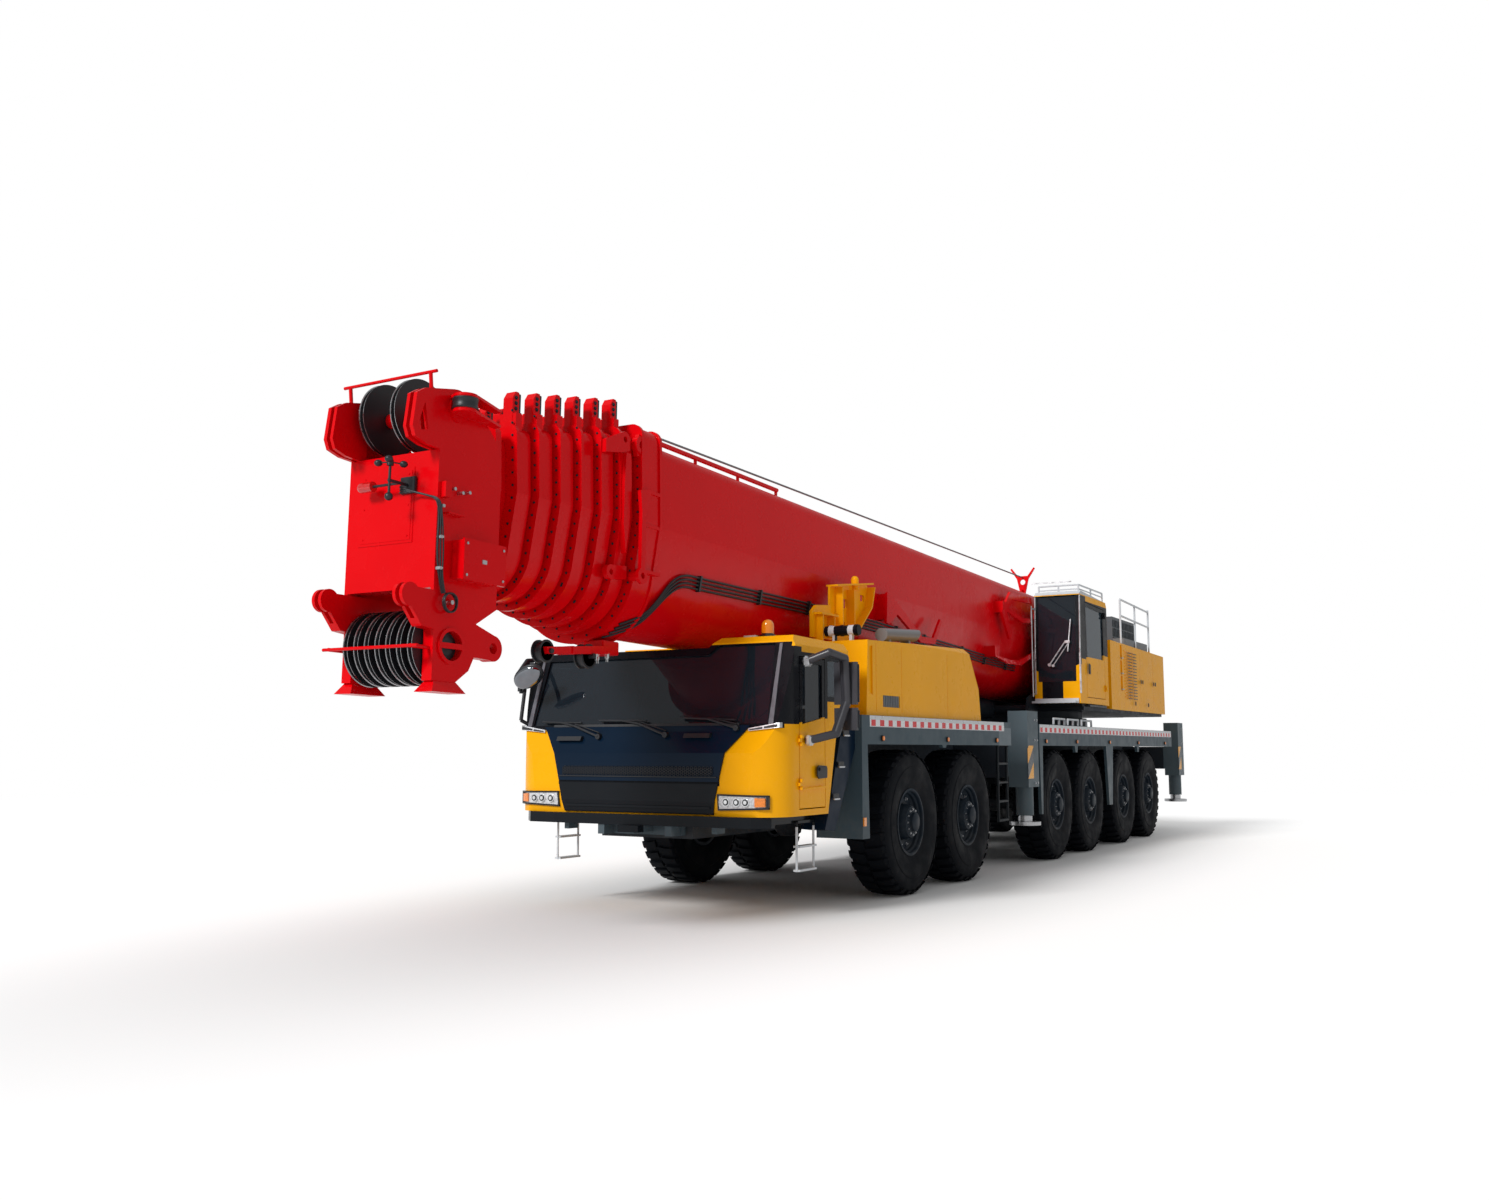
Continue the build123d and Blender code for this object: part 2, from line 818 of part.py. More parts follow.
def door_window(margin, side):
    """The window in the side door."""
    m = margin
    points = [
        (door_rear_x + 60 + m, cab_waist_z + 120 + m),
        (door_front_x - 60 - m, cab_waist_z + 60 + m),
        (screen_top_x - 130 - m, door_top_z - 60 - m),
        (door_rear_x + 60 + m, door_top_z - 60 - m),
    ]
    return side_prism(points, side * (cab_half_width - 150), side * (cab_half_width + 50))


def quarter_window(margin, side):
    """The small window behind the door."""
    m = margin
    points = [
        (5130 + m, 1960 + m),
        (5395 - m, 1960 + m),
        (5395 - m, 2290 - m),
        (5150 + m, 2290 - m),
    ]
    return side_prism(points, side * (cab_half_width - 150), side * (cab_half_width + 50))


def rear_window(margin):
    """The window in the cab's back wall."""
    points = [
        (-700 + margin, 1960 + margin),
        (700 - margin, 1960 + margin),
        (700 - margin, 2280 - margin),
        (-700 + margin, 2280 - margin),
    ]
    return front_prism(points, cab_rear_x - 20, cab_rear_x + 120)


def hinge_pin(x, y, z, ahead, side):
    """A hinge pin on the fixed side, with the lug that holds it."""
    pin = post(x, y, z - hinge_length / 2, z + hinge_length / 2, hinge_pin_radius)
    lug = box(x, x + ahead * 40, y - side * hinge_out, y + side * hinge_pin_radius,
              z - hinge_lug / 2, z + hinge_lug / 2)
    return pin + lug


def hinge_leaf(x, y, z, ahead, side):
    """The two eyes on the moving side of a hinge."""
    outer = hinge_pin_radius + 7
    pieces = []
    for way in (-1, 1):
        z0 = z + way * (hinge_lug / 2 + 3)
        z1 = z + way * hinge_length / 2
        eye = post(x, y, z0, z1, outer)
        strap = box(x, x - ahead * 50, y - side * hinge_out, y + side * 4, z0, z1)
        pieces.append((eye + strap) - post(x, y, z0, z1, hinge_pin_radius + hinge_clearance))
    return joined(pieces)


def make_cab():
    outer = cab_body(0)
    inner = cab_body(cab_wall)
    shell = outer - inner
    pane = cab_body(glass_inset) - cab_body(glass_inset + glass_thick)
    body = shell - screen_cutter(0) - rear_window(0)
    glass = [pane & screen_cutter(glass_gap), pane & rear_window(glass_gap)]
    for side, word in ((1, "left"), (-1, "right")):
        body = body - door_cutter(0, side) - quarter_window(0, side)
        glass.append(pane & quarter_window(glass_gap, side))
        door = (shell & door_cutter(door_gap, side)) - door_window(0, side)
        hinge_x = door_front_x - door_gap / 2
        hinge_y = side * (cab_half_width + hinge_out)
        for z in door_hinge_z:
            body = body + hinge_pin(hinge_x, hinge_y, z, 1, side)
            door = door + hinge_leaf(hinge_x, hinge_y, z, 1, side)
        write(f"cab_door_{word}", door)
        write(f"cab_door_glass_{word}", pane & door_window(glass_gap, side))
        write(f"cab_mirror_{word}", cab_mirror(side))
    write("cab_shell", body)
    write("cab_glass", *glass)


def cab_mirror(side):
    """The mirror arm, carried by the door, with its two mirrors."""
    y0 = cab_half_width
    y1 = cab_half_width + 210
    tube = 26.0
    route = [
        (5880, y0 - 1, 2255),
        (5830, y1, 2330),
        (5600, y1 + 40, 2290),
        (5560, y1 + 40, 1900),
        (5700, y1, 1620),
        (5850, y0 - 1, 1560),
    ]
    pieces = []
    for a, b in zip(route, route[1:]):
        pieces.append(bar(a, b, tube))
        pieces.append(Pos(*b) * Sphere(tube))
    pieces.pop()
    big = box(5505, 5545, y1 - 70, y1 + 150, 1880, 2260)
    small = box(5505, 5545, y1 - 70, y1 + 150, 1650, 1850)
    pieces.extend([big, small])
    pieces.append(box(5540, 5570, y1 + 20, y1 + 60, 1990, 2150))
    pieces.append(box(5540, 5610, y1 + 20, y1 + 60, 1740, 1800))
    arm = joined(pieces) - cab_body(0)
    return arm if side == 1 else mirrored(arm)


def fold_step(x, side):
    """A fold-down step with two treads, hung under the cab."""
    y = side * fold_step_y
    half = fold_step_width / 2
    top = cab_floor_z - 60
    pieces = []
    for way in (-1, 1):
        pieces.append(post(x + way * half, y, fold_step_floor_z, top, fold_step_tube))
    for z in (fold_step_floor_z + fold_step_tube, (fold_step_floor_z + top) / 2):
        pieces.append(box(x - half, x + half, y - 34, y + 34, z - 9, z + 9))
    reach = side * 1180
    pieces.append(box(x - half, x + half, min(reach, y) - 14, max(reach, y) + 14, top - 14, top + 10))
    return joined(pieces)


def cab_mask():
    """The dark panel under the windscreen, its grille and its top lip."""
    front = cab_front_x
    skin = cab_body(-mask_out) - cab_body(0)
    mask = skin & front_prism([
        (-mask_half_low, mask_floor_z),
        (mask_half_low, mask_floor_z),
        (mask_half_low + 60, cab_waist_z - 190),
        (mask_half_top, mask_top_z),
        (-mask_half_top, mask_top_z),
        (-mask_half_low - 60, cab_waist_z - 190),
    ], cab_waist_x - 400, front + 60)
    grille = cab_body(-grille_out) - cab_body(0)
    grille = grille & front_prism([
        (-mask_half_low, mask_floor_z - 14),
        (mask_half_low, mask_floor_z - 14),
        (mask_half_low - 60, cab_floor_z + 12),
        (60 - mask_half_low, cab_floor_z + 12),
    ], cab_waist_x - 400, front + 60)
    for i in range(grille_bars):
        z = cab_floor_z + 60 + i * grille_bar_pitch
        bar_band = (cab_body(-grille_out - 12) - cab_body(0)) & box(
            front - 60, front + 60, 80 - mask_half_low, mask_half_low - 80, z, z + 20)
        grille = grille + bar_band
    return mask + grille


def cab_bumper():
    """The lower edge of the cab front, with the towing eye and the fold-down steps."""
    front = cab_front_x
    top = cab_floor_z - 0.3
    outline = [
        (nose_front_x, -bumper_half),
        (front - 120, -bumper_half),
        (front + 10, 130 - bumper_half),
        (front + 34, -900),
        (front + 34, 900),
        (front + 10, bumper_half - 130),
        (front - 120, bumper_half),
        (nose_front_x, bumper_half),
    ]
    bumper = plan_prism(outline, top - 95, top)
    tow = box(nose_front_x, front + 120, -tow_half_width, tow_half_width, tow_z - tow_thick, tow_z)
    for side in (-1, 1):
        tow = tow + box(nose_front_x, front + 20, side * 330, side * 400, tow_z - 90, tow_z)
        tow = tow + box(nose_front_x, front - 40, side * 780, side * 830, tow_z - 60, tow_z)
    tow = tow + box(nose_front_x, nose_front_x + 60, -420, 420, tow_z - 90, tow_z)
    tow = tow - post(front + 70, 0, tow_z - tow_thick - 1, tow_z + 1, tow_bore_radius)
    sill = box(door_rear_x + 40, nose_front_x + 1, -bumper_half + 20, bumper_half - 20, top - 70, top)
    sill = sill - box(door_rear_x, nose_front_x + 2, -sill_inner, sill_inner, top - 80, top + 1)
    body = bumper + tow + sill
    for side in (-1, 1):
        body = body + fold_step(fold_step_x, side)
    return body


def head_lamp(side):
    """A headlamp that follows the cab's corner."""
    skin = cab_body(-lamp_out) - cab_body(0)
    return skin & front_prism([
        (side * 880, 968),
        (side * 1330, 985),
        (side * 1330, 1078),
        (side * 1180, 1092),
        (side * 880, 1086),
    ], cab_front_x - 260, cab_front_x + 60)


def make_cab_fittings():
    write("cab_front_panel", cab_mask(), cab_bumper())
    lamps = []
    for side in (-1, 1):
        lamps.append(head_lamp(side))
        lamps.append(box(fender_front_foot_x - 60, fender_front_foot_x - 10,
                         side * deck_half_width, side * (deck_half_width + 14), 760, 840))
        lamps.append(box(screen_top_x - 230, screen_top_x - 150, side * 830, side * 960,
                         cab_low_roof_z - 20, cab_roof_z + 22) - cab_body(0))
    dome = post(beacon_x, beacon_y, cab_roof_z - 50, cab_roof_z + 120, beacon_radius)
    dome = dome + Pos(beacon_x, beacon_y, cab_roof_z + 120) * Sphere(beacon_radius - 2)
    foot = post(beacon_x, beacon_y, cab_roof_z - 50, cab_roof_z + 34, beacon_radius + 16)
    lamps.append((dome + foot) - cab_body(0))
    write("cab_lamps", *lamps)
    write("cab_interior", *cab_seats(), dashboard())


def cab_seats():
    """The two seats on their bases."""
    seats = []
    floor = cab_floor_z + cab_wall
    for y in (seat_y, -seat_y):
        base = box(5520, 5800, y - 200, y + 200, floor + 0.3, 1380)
        cushion = box(5440, 5880, y - 250, y + 250, 1380, 1500)
        back = side_prism([(5345, 1480), (5455, 1480), (5425, 2120), (5340, 2140)], y - 240, y + 240)
        rest = box(5345, 5415, y - 140, y + 140, 2130, 2250)
        seats.append(base + cushion + back + rest)
    return seats


def dashboard():
    """The dashboard on its legs, with the steering wheel."""
    floor = cab_floor_z + cab_wall
    dash = side_prism([(6010, 1400), (6180, 1350), (6180, 1600), (6090, 1620), (6000, 1560)], -1080, 1080)
    column = bar((6060, seat_y, 1500), (5940, seat_y, 1650), 24)
    wheel = Pos(5930, seat_y, 1660) * Rot(0, -45, 0) * Torus(205, 17)
    spokes = bar((5785, seat_y, 1515), (6040, seat_y, 1770), 14)
    legs = box(6080, 6140, -600, 600, floor + 0.3, 1401)
    return dash + column + wheel + spokes + legs


# Engine housing

def housing_body(inset):
    """The housing behind the cab, with a valley for the boom."""
    side_points = [
        (housing_front_x - inset, deck_top_z),
        (housing_front_x - 40 - inset, housing_top_z - 90 - inset),
        (housing_front_x - 120 - inset, housing_top_z - 90 - inset),
        (housing_rear_top_x + inset, housing_top_z - inset),
        (housing_rear_x + 60 + inset, 2180),
        (housing_rear_x + inset, deck_top_z),
    ]
    half = housing_half_width - inset
    top = housing_top_z - inset
    valley = housing_valley_z - inset
    near = housing_inner_y + inset
    front_points = [
        (-half, deck_top_z),
        (half, deck_top_z),
        (half, top - 60),
        (half - 60, top),
        (near, top),
        (near - 60, valley),
        (60 - near, valley),
        (-near, top),
        (60 - half, top),
        (-half, top - 60),
    ]
    body = side_prism(side_points, -half, half)
    body = body & front_prism(front_points, housing_rear_x - 10, housing_front_x + 10)
    notch = notch_half_width + inset
    return body - box(housing_rear_x - 10, notch_front_x + inset, -notch, notch, deck_top_z - 10, housing_top_z)


def make_housing():
    shell = housing_body(0) - housing_body(housing_wall)
    out = housing_half_width
    for side in (-1, 1):
        for x in panel_seams:
            shell = shell - box(x - 4, x + 4, side * (out - 5), side * (out + 1), deck_top_z + 40, housing_top_z - 110)
        shell = shell - box(3752, 4170, side * (out - 12), side * (out + 1), 1902, 2018)
        for i in range(mesh_bars):
            x = 3752 + (i + 1) * 418 / (mesh_bars + 1)
            shell = shell + box(x - 5, x + 5, side * (out - 13), side * (out - 3), 1902, 2018)
        shell = shell - side_prism([
            (housing_front_x - 150, 2010),
            (housing_front_x - 20, 2060),
            (housing_front_x - 60, 2480),
            (housing_front_x - 150, 2500),
        ], side * (out - 16), side * (out + 1))
        shell = shell + jib_cradle(side)
    write("engine_housing", shell)
    write("intake_and_exhaust", intake(), exhaust())


def jib_cradle(side):
    """The bracket on the housing that holds the boom's hook rope and jib."""
    y0 = cradle_y
    y1 = cradle_y + cradle_thick
    top = housing_top_z - 30
    upper = [
        (4105, 3165),
        (3215, 3275),
        (3180, 3240),
        (3260, 3010),
        (3560, 2760),
        (3600, top),
        (4120, top),
    ]
    web = side_prism(upper, side * y0, side * y1)
    for x, z, wide, tall in ((3760, 3010, 240, 100), (3330, 3110, 90, 70), (3860, 2790, 200, 50)):
        web = web - box(x - wide / 2, x + wide / 2, side * (y0 - 1), side * (y1 + 1), z - tall / 2, z + tall / 2)
    flange_out = side * (y1 + 90)
    for start, end in ((0, 1), (2, 3), (3, 4)):
        (xa, za), (xb, zb) = upper[start], upper[end]
        run = math.hypot(xb - xa, zb - za)
        dx = (zb - za) / run * 9
        dz = (xb - xa) / run * 9
        web = web + side_prism([(xa - dx, za + dz), (xb - dx, zb + dz), (xb + dx, zb - dz), (xa + dx, za - dz)],
                               side * (y0 - 20), flange_out)
    for x in (3700, 3980):
        web = web + box(x - 9, x + 9, side * y0, flange_out, 2740, 3160)
    block = side_prism([(4120, 2960), (4440, 2930), (4535, 2860), (4535, top - 10), (4100, top - 10)],
                       side * (y0 + 6), side * (y0 + 40))
    shelf = box(4120, 4500, side * (y0 + 6), side * (y0 + 130), 2830, 2850)
    legs = box(4180, 4200, side * (y0 + 6), side * (y0 + 120), top, 2840)
    legs = legs + box(4440, 4460, side * (y0 + 6), side * (y0 + 120), top - 80, 2840)
    peg = post(3530, side * (y0 + 35), 3180, 3290, 42)
    peg = peg + Pos(3530, side * (y0 + 35), 3290) * Sphere(40)
    return (web + block + shelf + legs + peg) - housing_body(housing_wall)


def intake():
    """The air intake that lies across the housing's front."""
    pipe = cross_bar(intake_x, intake_z, cradle_y + 150, 1330, intake_radius)
    for y in (cradle_y + 190, 1130, 1290):
        pipe = pipe + cross_bar(intake_x, intake_z, y, y + 26, intake_radius + 5)
    for y in (cradle_y + 230, 1230):
        pipe = pipe + box(intake_x - 25, intake_x + 25, y, y + 30, housing_top_z - 130, intake_z)
    return pipe - housing_body(0)


def exhaust():
    """The exhaust, its mouth cut on the slant."""
    pipe = bar((exhaust_front_x, exhaust_y, exhaust_z - 40), (exhaust_rear_x, exhaust_y, exhaust_z + 20), exhaust_radius)
    pipe = pipe - bar((exhaust_rear_x + 400, exhaust_y, exhaust_z - 14), (exhaust_rear_x - 10, exhaust_y, exhaust_z + 20),
                      exhaust_radius - 7)
    pipe = pipe - side_prism([
        (exhaust_rear_x - 20, exhaust_z - 120),
        (exhaust_rear_x + 200, exhaust_z - 120),
        (exhaust_rear_x - 20, exhaust_z + 130),
    ], exhaust_y - 200, exhaust_y + 200)
    for x in (exhaust_front_x - 120, exhaust_rear_x + 340):
        pipe = pipe + box(x - 25, x + 25, exhaust_y - 50, exhaust_y + 50, housing_top_z - 130, exhaust_z - exhaust_radius + 12)
    return pipe - housing_body(0)


# Superstructure

def make_turntable():
    ring = post(ring_x, 0, pedestal_top_z + 0.3, floor_z + 1, ring_radius)
    ring = ring - post(ring_x, 0, pedestal_top_z - 1, floor_z + 2, ring_inner_radius)
    plate = plan_prism([
        (foot_x - 260, -machine_inner_y),
        (foot_x - 260, machine_inner_y),
        (-3050, machine_half_width - 20),
        (machine_rear_x + 200, machine_half_width - 20),
        (machine_rear_x + 200, 20 - machine_half_width),
        (-3050, 20 - machine_half_width),
    ], floor_z, floor_top_z)
    pieces = [plate, ring]
    for side in (-1, 1):
        near = side * side_plate_y
        far = side * (side_plate_y + side_plate_thick)
        outline = [
            (foot_x + 190, foot_z - 40),
            (foot_x + 100, foot_z + 170),
            (foot_x - 500, foot_z + 330),
            (pivot_x + 260, pivot_z + 200),
            (pivot_x, pivot_z + 260),
            (pivot_x - 260, pivot_z + 200),
            (machine_rear_x + 100, 2800),
            (machine_rear_x + 100, floor_z),
            (foot_x - 300, floor_z),
            (foot_x - 160, foot_z - 110),
            (foot_x + 120, foot_z - 110),
        ]
        plate_side = side_prism(outline, near, far)
        pieces.append(plate_side)
    for x in (opcab_front_x - 250, opcab_rear_x + 150):
        pieces.append(box(x - 60, x + 60, opcab_inner_y + 30, opcab_outer_y - 30, floor_top_z - 1, opcab_floor_z))
    foot_out = side_plate_y + side_plate_thick
    foot_pin = cross_bar(foot_x, foot_z, -foot_out, foot_out, cylinder_pin_radius)
    pivot_pin = cross_bar(pivot_x, pivot_z, -foot_out, foot_out, pivot_pin_radius)
    pieces.append(foot_pin)
    pieces.append(pivot_pin)
    rear = box(machine_rear_x + 100, machine_rear_x + 160, -side_plate_y - 1, side_plate_y + 1, floor_z, 2500)
    pieces.append(rear)
    write("turntable", joined(pieces))


def machine_body(inset):
    """A machinery housing on the left, moved inwards by inset."""
    points = [
        (machine_front_x - inset, floor_top_z + inset),
        (machine_front_x - inset, machine_top_front_z - inset),
        (machine_rear_x + inset, machine_top_rear_z - inset),
        (machine_rear_x + inset, floor_top_z + inset),
    ]
    return side_prism(points, machine_inner_y + inset, machine_half_width - inset)


def right_machine_body(inset):
    """The longer housing on the right side."""
    points = [
        (opcab_front_x - 300 - inset, floor_top_z + inset),
        (opcab_front_x - 360 - inset, 2900 - inset),
        (machine_front_x - inset, machine_top_front_z - inset),
        (machine_rear_x + inset, machine_top_rear_z - inset),
        (machine_rear_x + inset, floor_top_z + inset),
    ]
    return side_prism(points, -machine_inner_y - inset, -machine_half_width + inset)


def top_rail(side):
    """The guard rail on top of a machinery housing."""
    y = side * (machine_half_width - 45)
    radius = 16.0
    front = machine_rail_front
    rear = machine_rail_rear
    pieces = []
    for lift in (500, 770):
        z0 = machine_top_rear_z + lift
        pieces.append(bar((rear, y, z0 - 30), (front, y, z0 + 15), radius))
    for x in (rear, (rear + front) / 2, front):
        pieces.append(post(x, y, machine_top_rear_z - 20, machine_top_rear_z + 780, radius))
    return joined(pieces)


def louvres(side):
    """Two columns of slanted louvre blades on the housing's side."""
    out = side * machine_half_width
    blades = []
    for x in (louvre_x, louvre_x - louvre_pitch_x):
        for i in range(louvre_count):
            z = louvre_floor_z + i * louvre_pitch
            blades.append(front_prism([
                (out - side * 5, z),
                (out + side * louvre_out, z),
                (out - side * 5, z + louvre_pitch * 0.62),
            ], x - louvre_length / 2, x + louvre_length / 2))
    return blades


def cooler(y0, y1):
    """The oil cooler on the housing's roof, with its grid of fins."""
    body = box(cooler_rear_x, cooler_front_x, y0, y1, machine_top_rear_z - 5, cooler_top_z)
    for i in range(cooler_fins):
        x = cooler_rear_x + (i + 0.5) * (cooler_front_x - cooler_rear_x) / cooler_fins
        body = body - box(x - 34, x + 34, y1 - 20, y1 + 1, machine_top_rear_z + 110, cooler_top_z - 50)
    for z in (3360, 3520):
        body = body + box(cooler_rear_x + 10, cooler_front_x - 10, y1 - 30, y1 - 2, z - 9, z + 9)
    return body


def make_machinery():
    left = machine_body(0) - machine_body(machine_wall)
    right = right_machine_body(0) - right_machine_body(machine_wall)
    out = machine_half_width
    for z0, z1 in ((2430, 2670), (2690, 2920), (2940, 3170)):
        left = left - box(slot_column_x, slot_column_x + 110, out - 24, out + 1, z0, z1)
    for x in panel_seam_rear:
        left = left - box(x - 4, x + 4, out - 6, out + 1, floor_top_z + 60, machine_top_rear_z - 40)
        right = right - box(x - 4, x + 4, -out - 1, 6 - out, floor_top_z + 60, machine_top_rear_z - 40)
    left = left + top_rail(1) + cooler(machine_inner_y + 60, 1190)
    right = right + top_rail(-1) + mirrored(cooler(machine_inner_y + 60, 1190))
    step = box(cooler_rear_x - 60, cooler_front_x + 90, 1215, 1395, machine_top_rear_z - 10,
               machine_top_rear_z + 160)
    left = left + step
    right = right + mirrored(step)
    for blade in louvres(1):
        left = left + blade
    for blade in louvres(-1):
        right = right + blade
    write("machinery_housing", left, right)


def opcab_body(inset):
    """The operator's cab, moved inwards by inset."""
    points = [
        (opcab_front_x - inset, opcab_floor_z + inset),
        (opcab_front_x - 10 - inset, 2900),
        (opcab_front_x - 60 - inset, opcab_roof_z - 70 - inset),
        (opcab_front_x - 150 - inset, opcab_roof_z - inset),
        (opcab_rear_x + 50 + inset, opcab_roof_z - 60 - inset),
        (opcab_rear_x + inset, opcab_roof_z - 140 - inset),
        (opcab_rear_x + inset, opcab_floor_z + inset),
    ]
    return side_prism(points, opcab_inner_y + inset, opcab_outer_y - inset)


def opcab_screen(margin):
    """The operator's front glass."""
    points = [
        (opcab_inner_y + 55 + margin, opcab_sill_z + margin),
        (opcab_outer_y - 55 - margin, opcab_sill_z + margin),
        (opcab_outer_y - 55 - margin, opcab_roof_z - 80 - margin),
        (opcab_inner_y + 55 + margin, opcab_roof_z - 80 - margin),
    ]
    return front_prism(points, opcab_front_x - 130, opcab_front_x + 20)


def opcab_door_cutter(margin):
    """The operator's side door."""
    m = margin
    points = [
        (-3270 - m, 2250 + m),
        (-3230 - m, 3690 - m),
        (opcab_door_rear_x + m, 3660 - m),
        (opcab_door_rear_x + m, 2250 + m),
    ]
    return side_prism(points, opcab_outer_y - 110, opcab_outer_y + 20)


def opcab_door_window(margin):
    m = margin
    points = [
        (-3330 - m, 2860 + m),
        (-3290 - m, 3630 - m),
        (-4240 + m, 3600 - m),
        (-4240 + m, 2860 + m),
    ]
    return side_prism(points, opcab_outer_y - 110, opcab_outer_y + 20)


def opcab_right_window(margin):
    m = margin
    points = [
        (-3120 - m, 2860 + m),
        (-3120 - m, 3650 - m),
        (-4240 + m, 3620 - m),
        (-4240 + m, 2860 + m),
    ]
    return side_prism(points, opcab_inner_y - 20, opcab_inner_y + 110)


def opcab_fittings():
    """The roof rail and the step plate of the operator's cab."""
    roof = opcab_roof_z
    front = opcab_front_x - 190
    rear = opcab_rear_x + 90
    inner = opcab_inner_y + 40
    outer = opcab_outer_y - 40
    high = roof + roof_rail_height
    pieces = []
    path = [(front, inner), (front, outer), (rear, outer)]
    for (xa, ya), (xb, yb) in zip(path, path[1:]):
        pieces.append(bar((xa, ya, high), (xb, yb, high), roof_rail_radius))
        pieces.append(bar((xa, ya, high - 62), (xb, yb, high - 62), roof_rail_radius - 3))
    stands = path + [((front + rear) / 2, outer), (front, (inner + outer) / 2)]
    for x, y in stands:
        pieces.append(post(x, y, roof - 100, high, roof_rail_radius))
    rails = joined(pieces)
    plate = box(opcab_front_x - 5, opcab_front_x + step_plate_reach, opcab_inner_y + 10, opcab_outer_y - 20,
                opcab_floor_z - 4, opcab_floor_z + 30)
    for i in range(step_plate_slots):
        y = opcab_inner_y + 60 + i * 90
        plate = plate - box(opcab_front_x + 40, opcab_front_x + step_plate_reach - 25, y, y + 50,
                            opcab_floor_z - 5, opcab_floor_z + 31)
    lip = box(opcab_front_x - 5, opcab_front_x + 30, opcab_inner_y + 10, opcab_outer_y - 20,
              opcab_floor_z - 4, opcab_floor_z + 70)
    side_step = box(opcab_rear_x + 225, opcab_front_x - 420, opcab_outer_y - 60, machine_half_width,
                    opcab_floor_z - 44, opcab_floor_z - 14)
    brace = box(opcab_rear_x + 260, opcab_rear_x + 300, opcab_outer_y - 60, opcab_outer_y - 20,
                opcab_floor_z - 40, opcab_floor_z + 5)
    brace = brace + box(opcab_front_x - 520, opcab_front_x - 480, opcab_outer_y - 60, opcab_outer_y - 20,
                        opcab_floor_z - 40, opcab_floor_z + 5)
    return rails + plate + lip + side_step + brace


def make_operator_cab():
    shell = opcab_body(0) - opcab_body(opcab_wall)
    pane = opcab_body(glass_inset) - opcab_body(glass_inset + glass_thick)
    body = shell - opcab_screen(0) - opcab_door_cutter(0) - opcab_right_window(0)
    door = (shell & opcab_door_cutter(door_gap)) - opcab_door_window(0)
    hinge_x = opcab_door_rear_x + door_gap / 2
    hinge_y = opcab_outer_y + hinge_out
    for z in opcab_hinge_z:
        body = body + hinge_pin(hinge_x, hinge_y, z, -1, 1)
        door = door + hinge_leaf(hinge_x, hinge_y, z, -1, 1)
    body = body + (opcab_fittings() - opcab_body(0))
    write("operator_cab_shell", body)
    write("operator_cab_glass", pane & opcab_screen(glass_gap), pane & opcab_right_window(glass_gap))
    write("operator_door", door)
    write("operator_door_glass", pane & opcab_door_window(glass_gap))
    write("operator_interior", operator_seat(), operator_console())


def operator_seat():
    mid = (opcab_inner_y + opcab_outer_y) / 2
    floor = opcab_floor_z + opcab_wall
    seat = box(-4050, -3750, mid - 150, mid + 150, floor + 0.3, 2620)
    seat = seat + box(-4120, -3640, mid - 230, mid + 230, 2600, 2720)
    seat = seat + side_prism([(-4230, 2690), (-4110, 2690), (-4150, 3340), (-4240, 3360)], mid - 220, mid + 220)
    for side in (-1, 1):
        arm = box(-4120, -3760, mid + side * 232, mid + side * 290, 2860, 2920)
        seat = seat + arm + box(-4110, -4050, mid + side * 228, mid + side * 280, 2700, 2870)
        seat = seat + post(-3800, mid + side * 262, 2915, 3010, 18)
    return seat


def operator_console():
    mid = (opcab_inner_y + opcab_outer_y) / 2
    floor = opcab_floor_z + opcab_wall
    console = side_prism([(-3230, floor + 0.3), (-3080, floor + 0.3), (-3060, 2620), (-3210, 2720)],
                         mid - 200, mid + 200)
    return console


def make_winches():
    drum = cross_bar(winch_x, winch_z, -winch_width / 2, winch_width / 2, winch_radius - winch_flange)
    for side in (-1, 1):
        edge = side * winch_width / 2
        drum = drum + cross_bar(winch_x, winch_z, edge, edge - side * 30, winch_radius)
        drum = drum + cross_bar(winch_x, winch_z, edge, side * (side_plate_y - 0.3), 90)
    write("winch", drum)


# Boom

def boom_outline(grow):
    """The boom's cross section, larger than the base section by grow."""
    half = boom_half_width + grow
    top = boom_top + grow
    bowl = boom_bowl_radius + grow
    bowl_v = boom_bottom - grow + bowl
    reach = Vector(half, boom_bend - bowl_v, 0).length
    angle = math.atan2(boom_bend - bowl_v, half) - math.acos(bowl / reach)
    tangent = (bowl * math.cos(angle), bowl_v + bowl * math.sin(angle))
    corner = boom_top_corner
    crown = half - boom_lean
    with BuildSketch() as sketch:
        with BuildLine():
            FilletPolyline(
                (half, boom_bend),
                (crown, top),
                (-crown, top),
                (-half, boom_bend),
                radius=corner,
            )
            Line((-half, boom_bend), (-tangent[0], tangent[1]))
            ThreePointArc((-tangent[0], tangent[1]), (0, boom_bottom - grow), tangent)
            Line(tangent, (half, boom_bend))
        make_face()
    return sketch.sketch


def boom_tube(grow, start, end, wall):
    """A hollow length of boom."""
    plane = Plane(origin=(pivot_x + start, 0, pivot_z), x_dir=(0, 1, 0), z_dir=(1, 0, 0))
    outer = extrude(plane * boom_outline(grow), amount=end - start, dir=(1, 0, 0))
    if wall <= 0:
        return outer
    inner = extrude(plane * boom_outline(grow - wall), amount=end - start, dir=(1, 0, 0))
    return outer - inner


def tilt(shape):
    """Lay a level boom piece at the boom's road angle."""
    axis = Axis((pivot_x, 0, pivot_z), (0, 1, 0))
    return shape.rotate(axis, -boom_slope)


def along(u):
    return pivot_x + u


def up(v):
    return pivot_z + v


def collar_ring(grow, rise, front, length):
    """A collar with a thin raised rib at its front edge and slide pads inside."""
    pad = section_step - slide_gap
    ring = boom_tube(grow + rise - collar_rib, front - length, front, rise - collar_rib + pad)
    rib = boom_tube(grow + rise, front - collar_rib_length, front, collar_rib + 10)
    return ring + rib


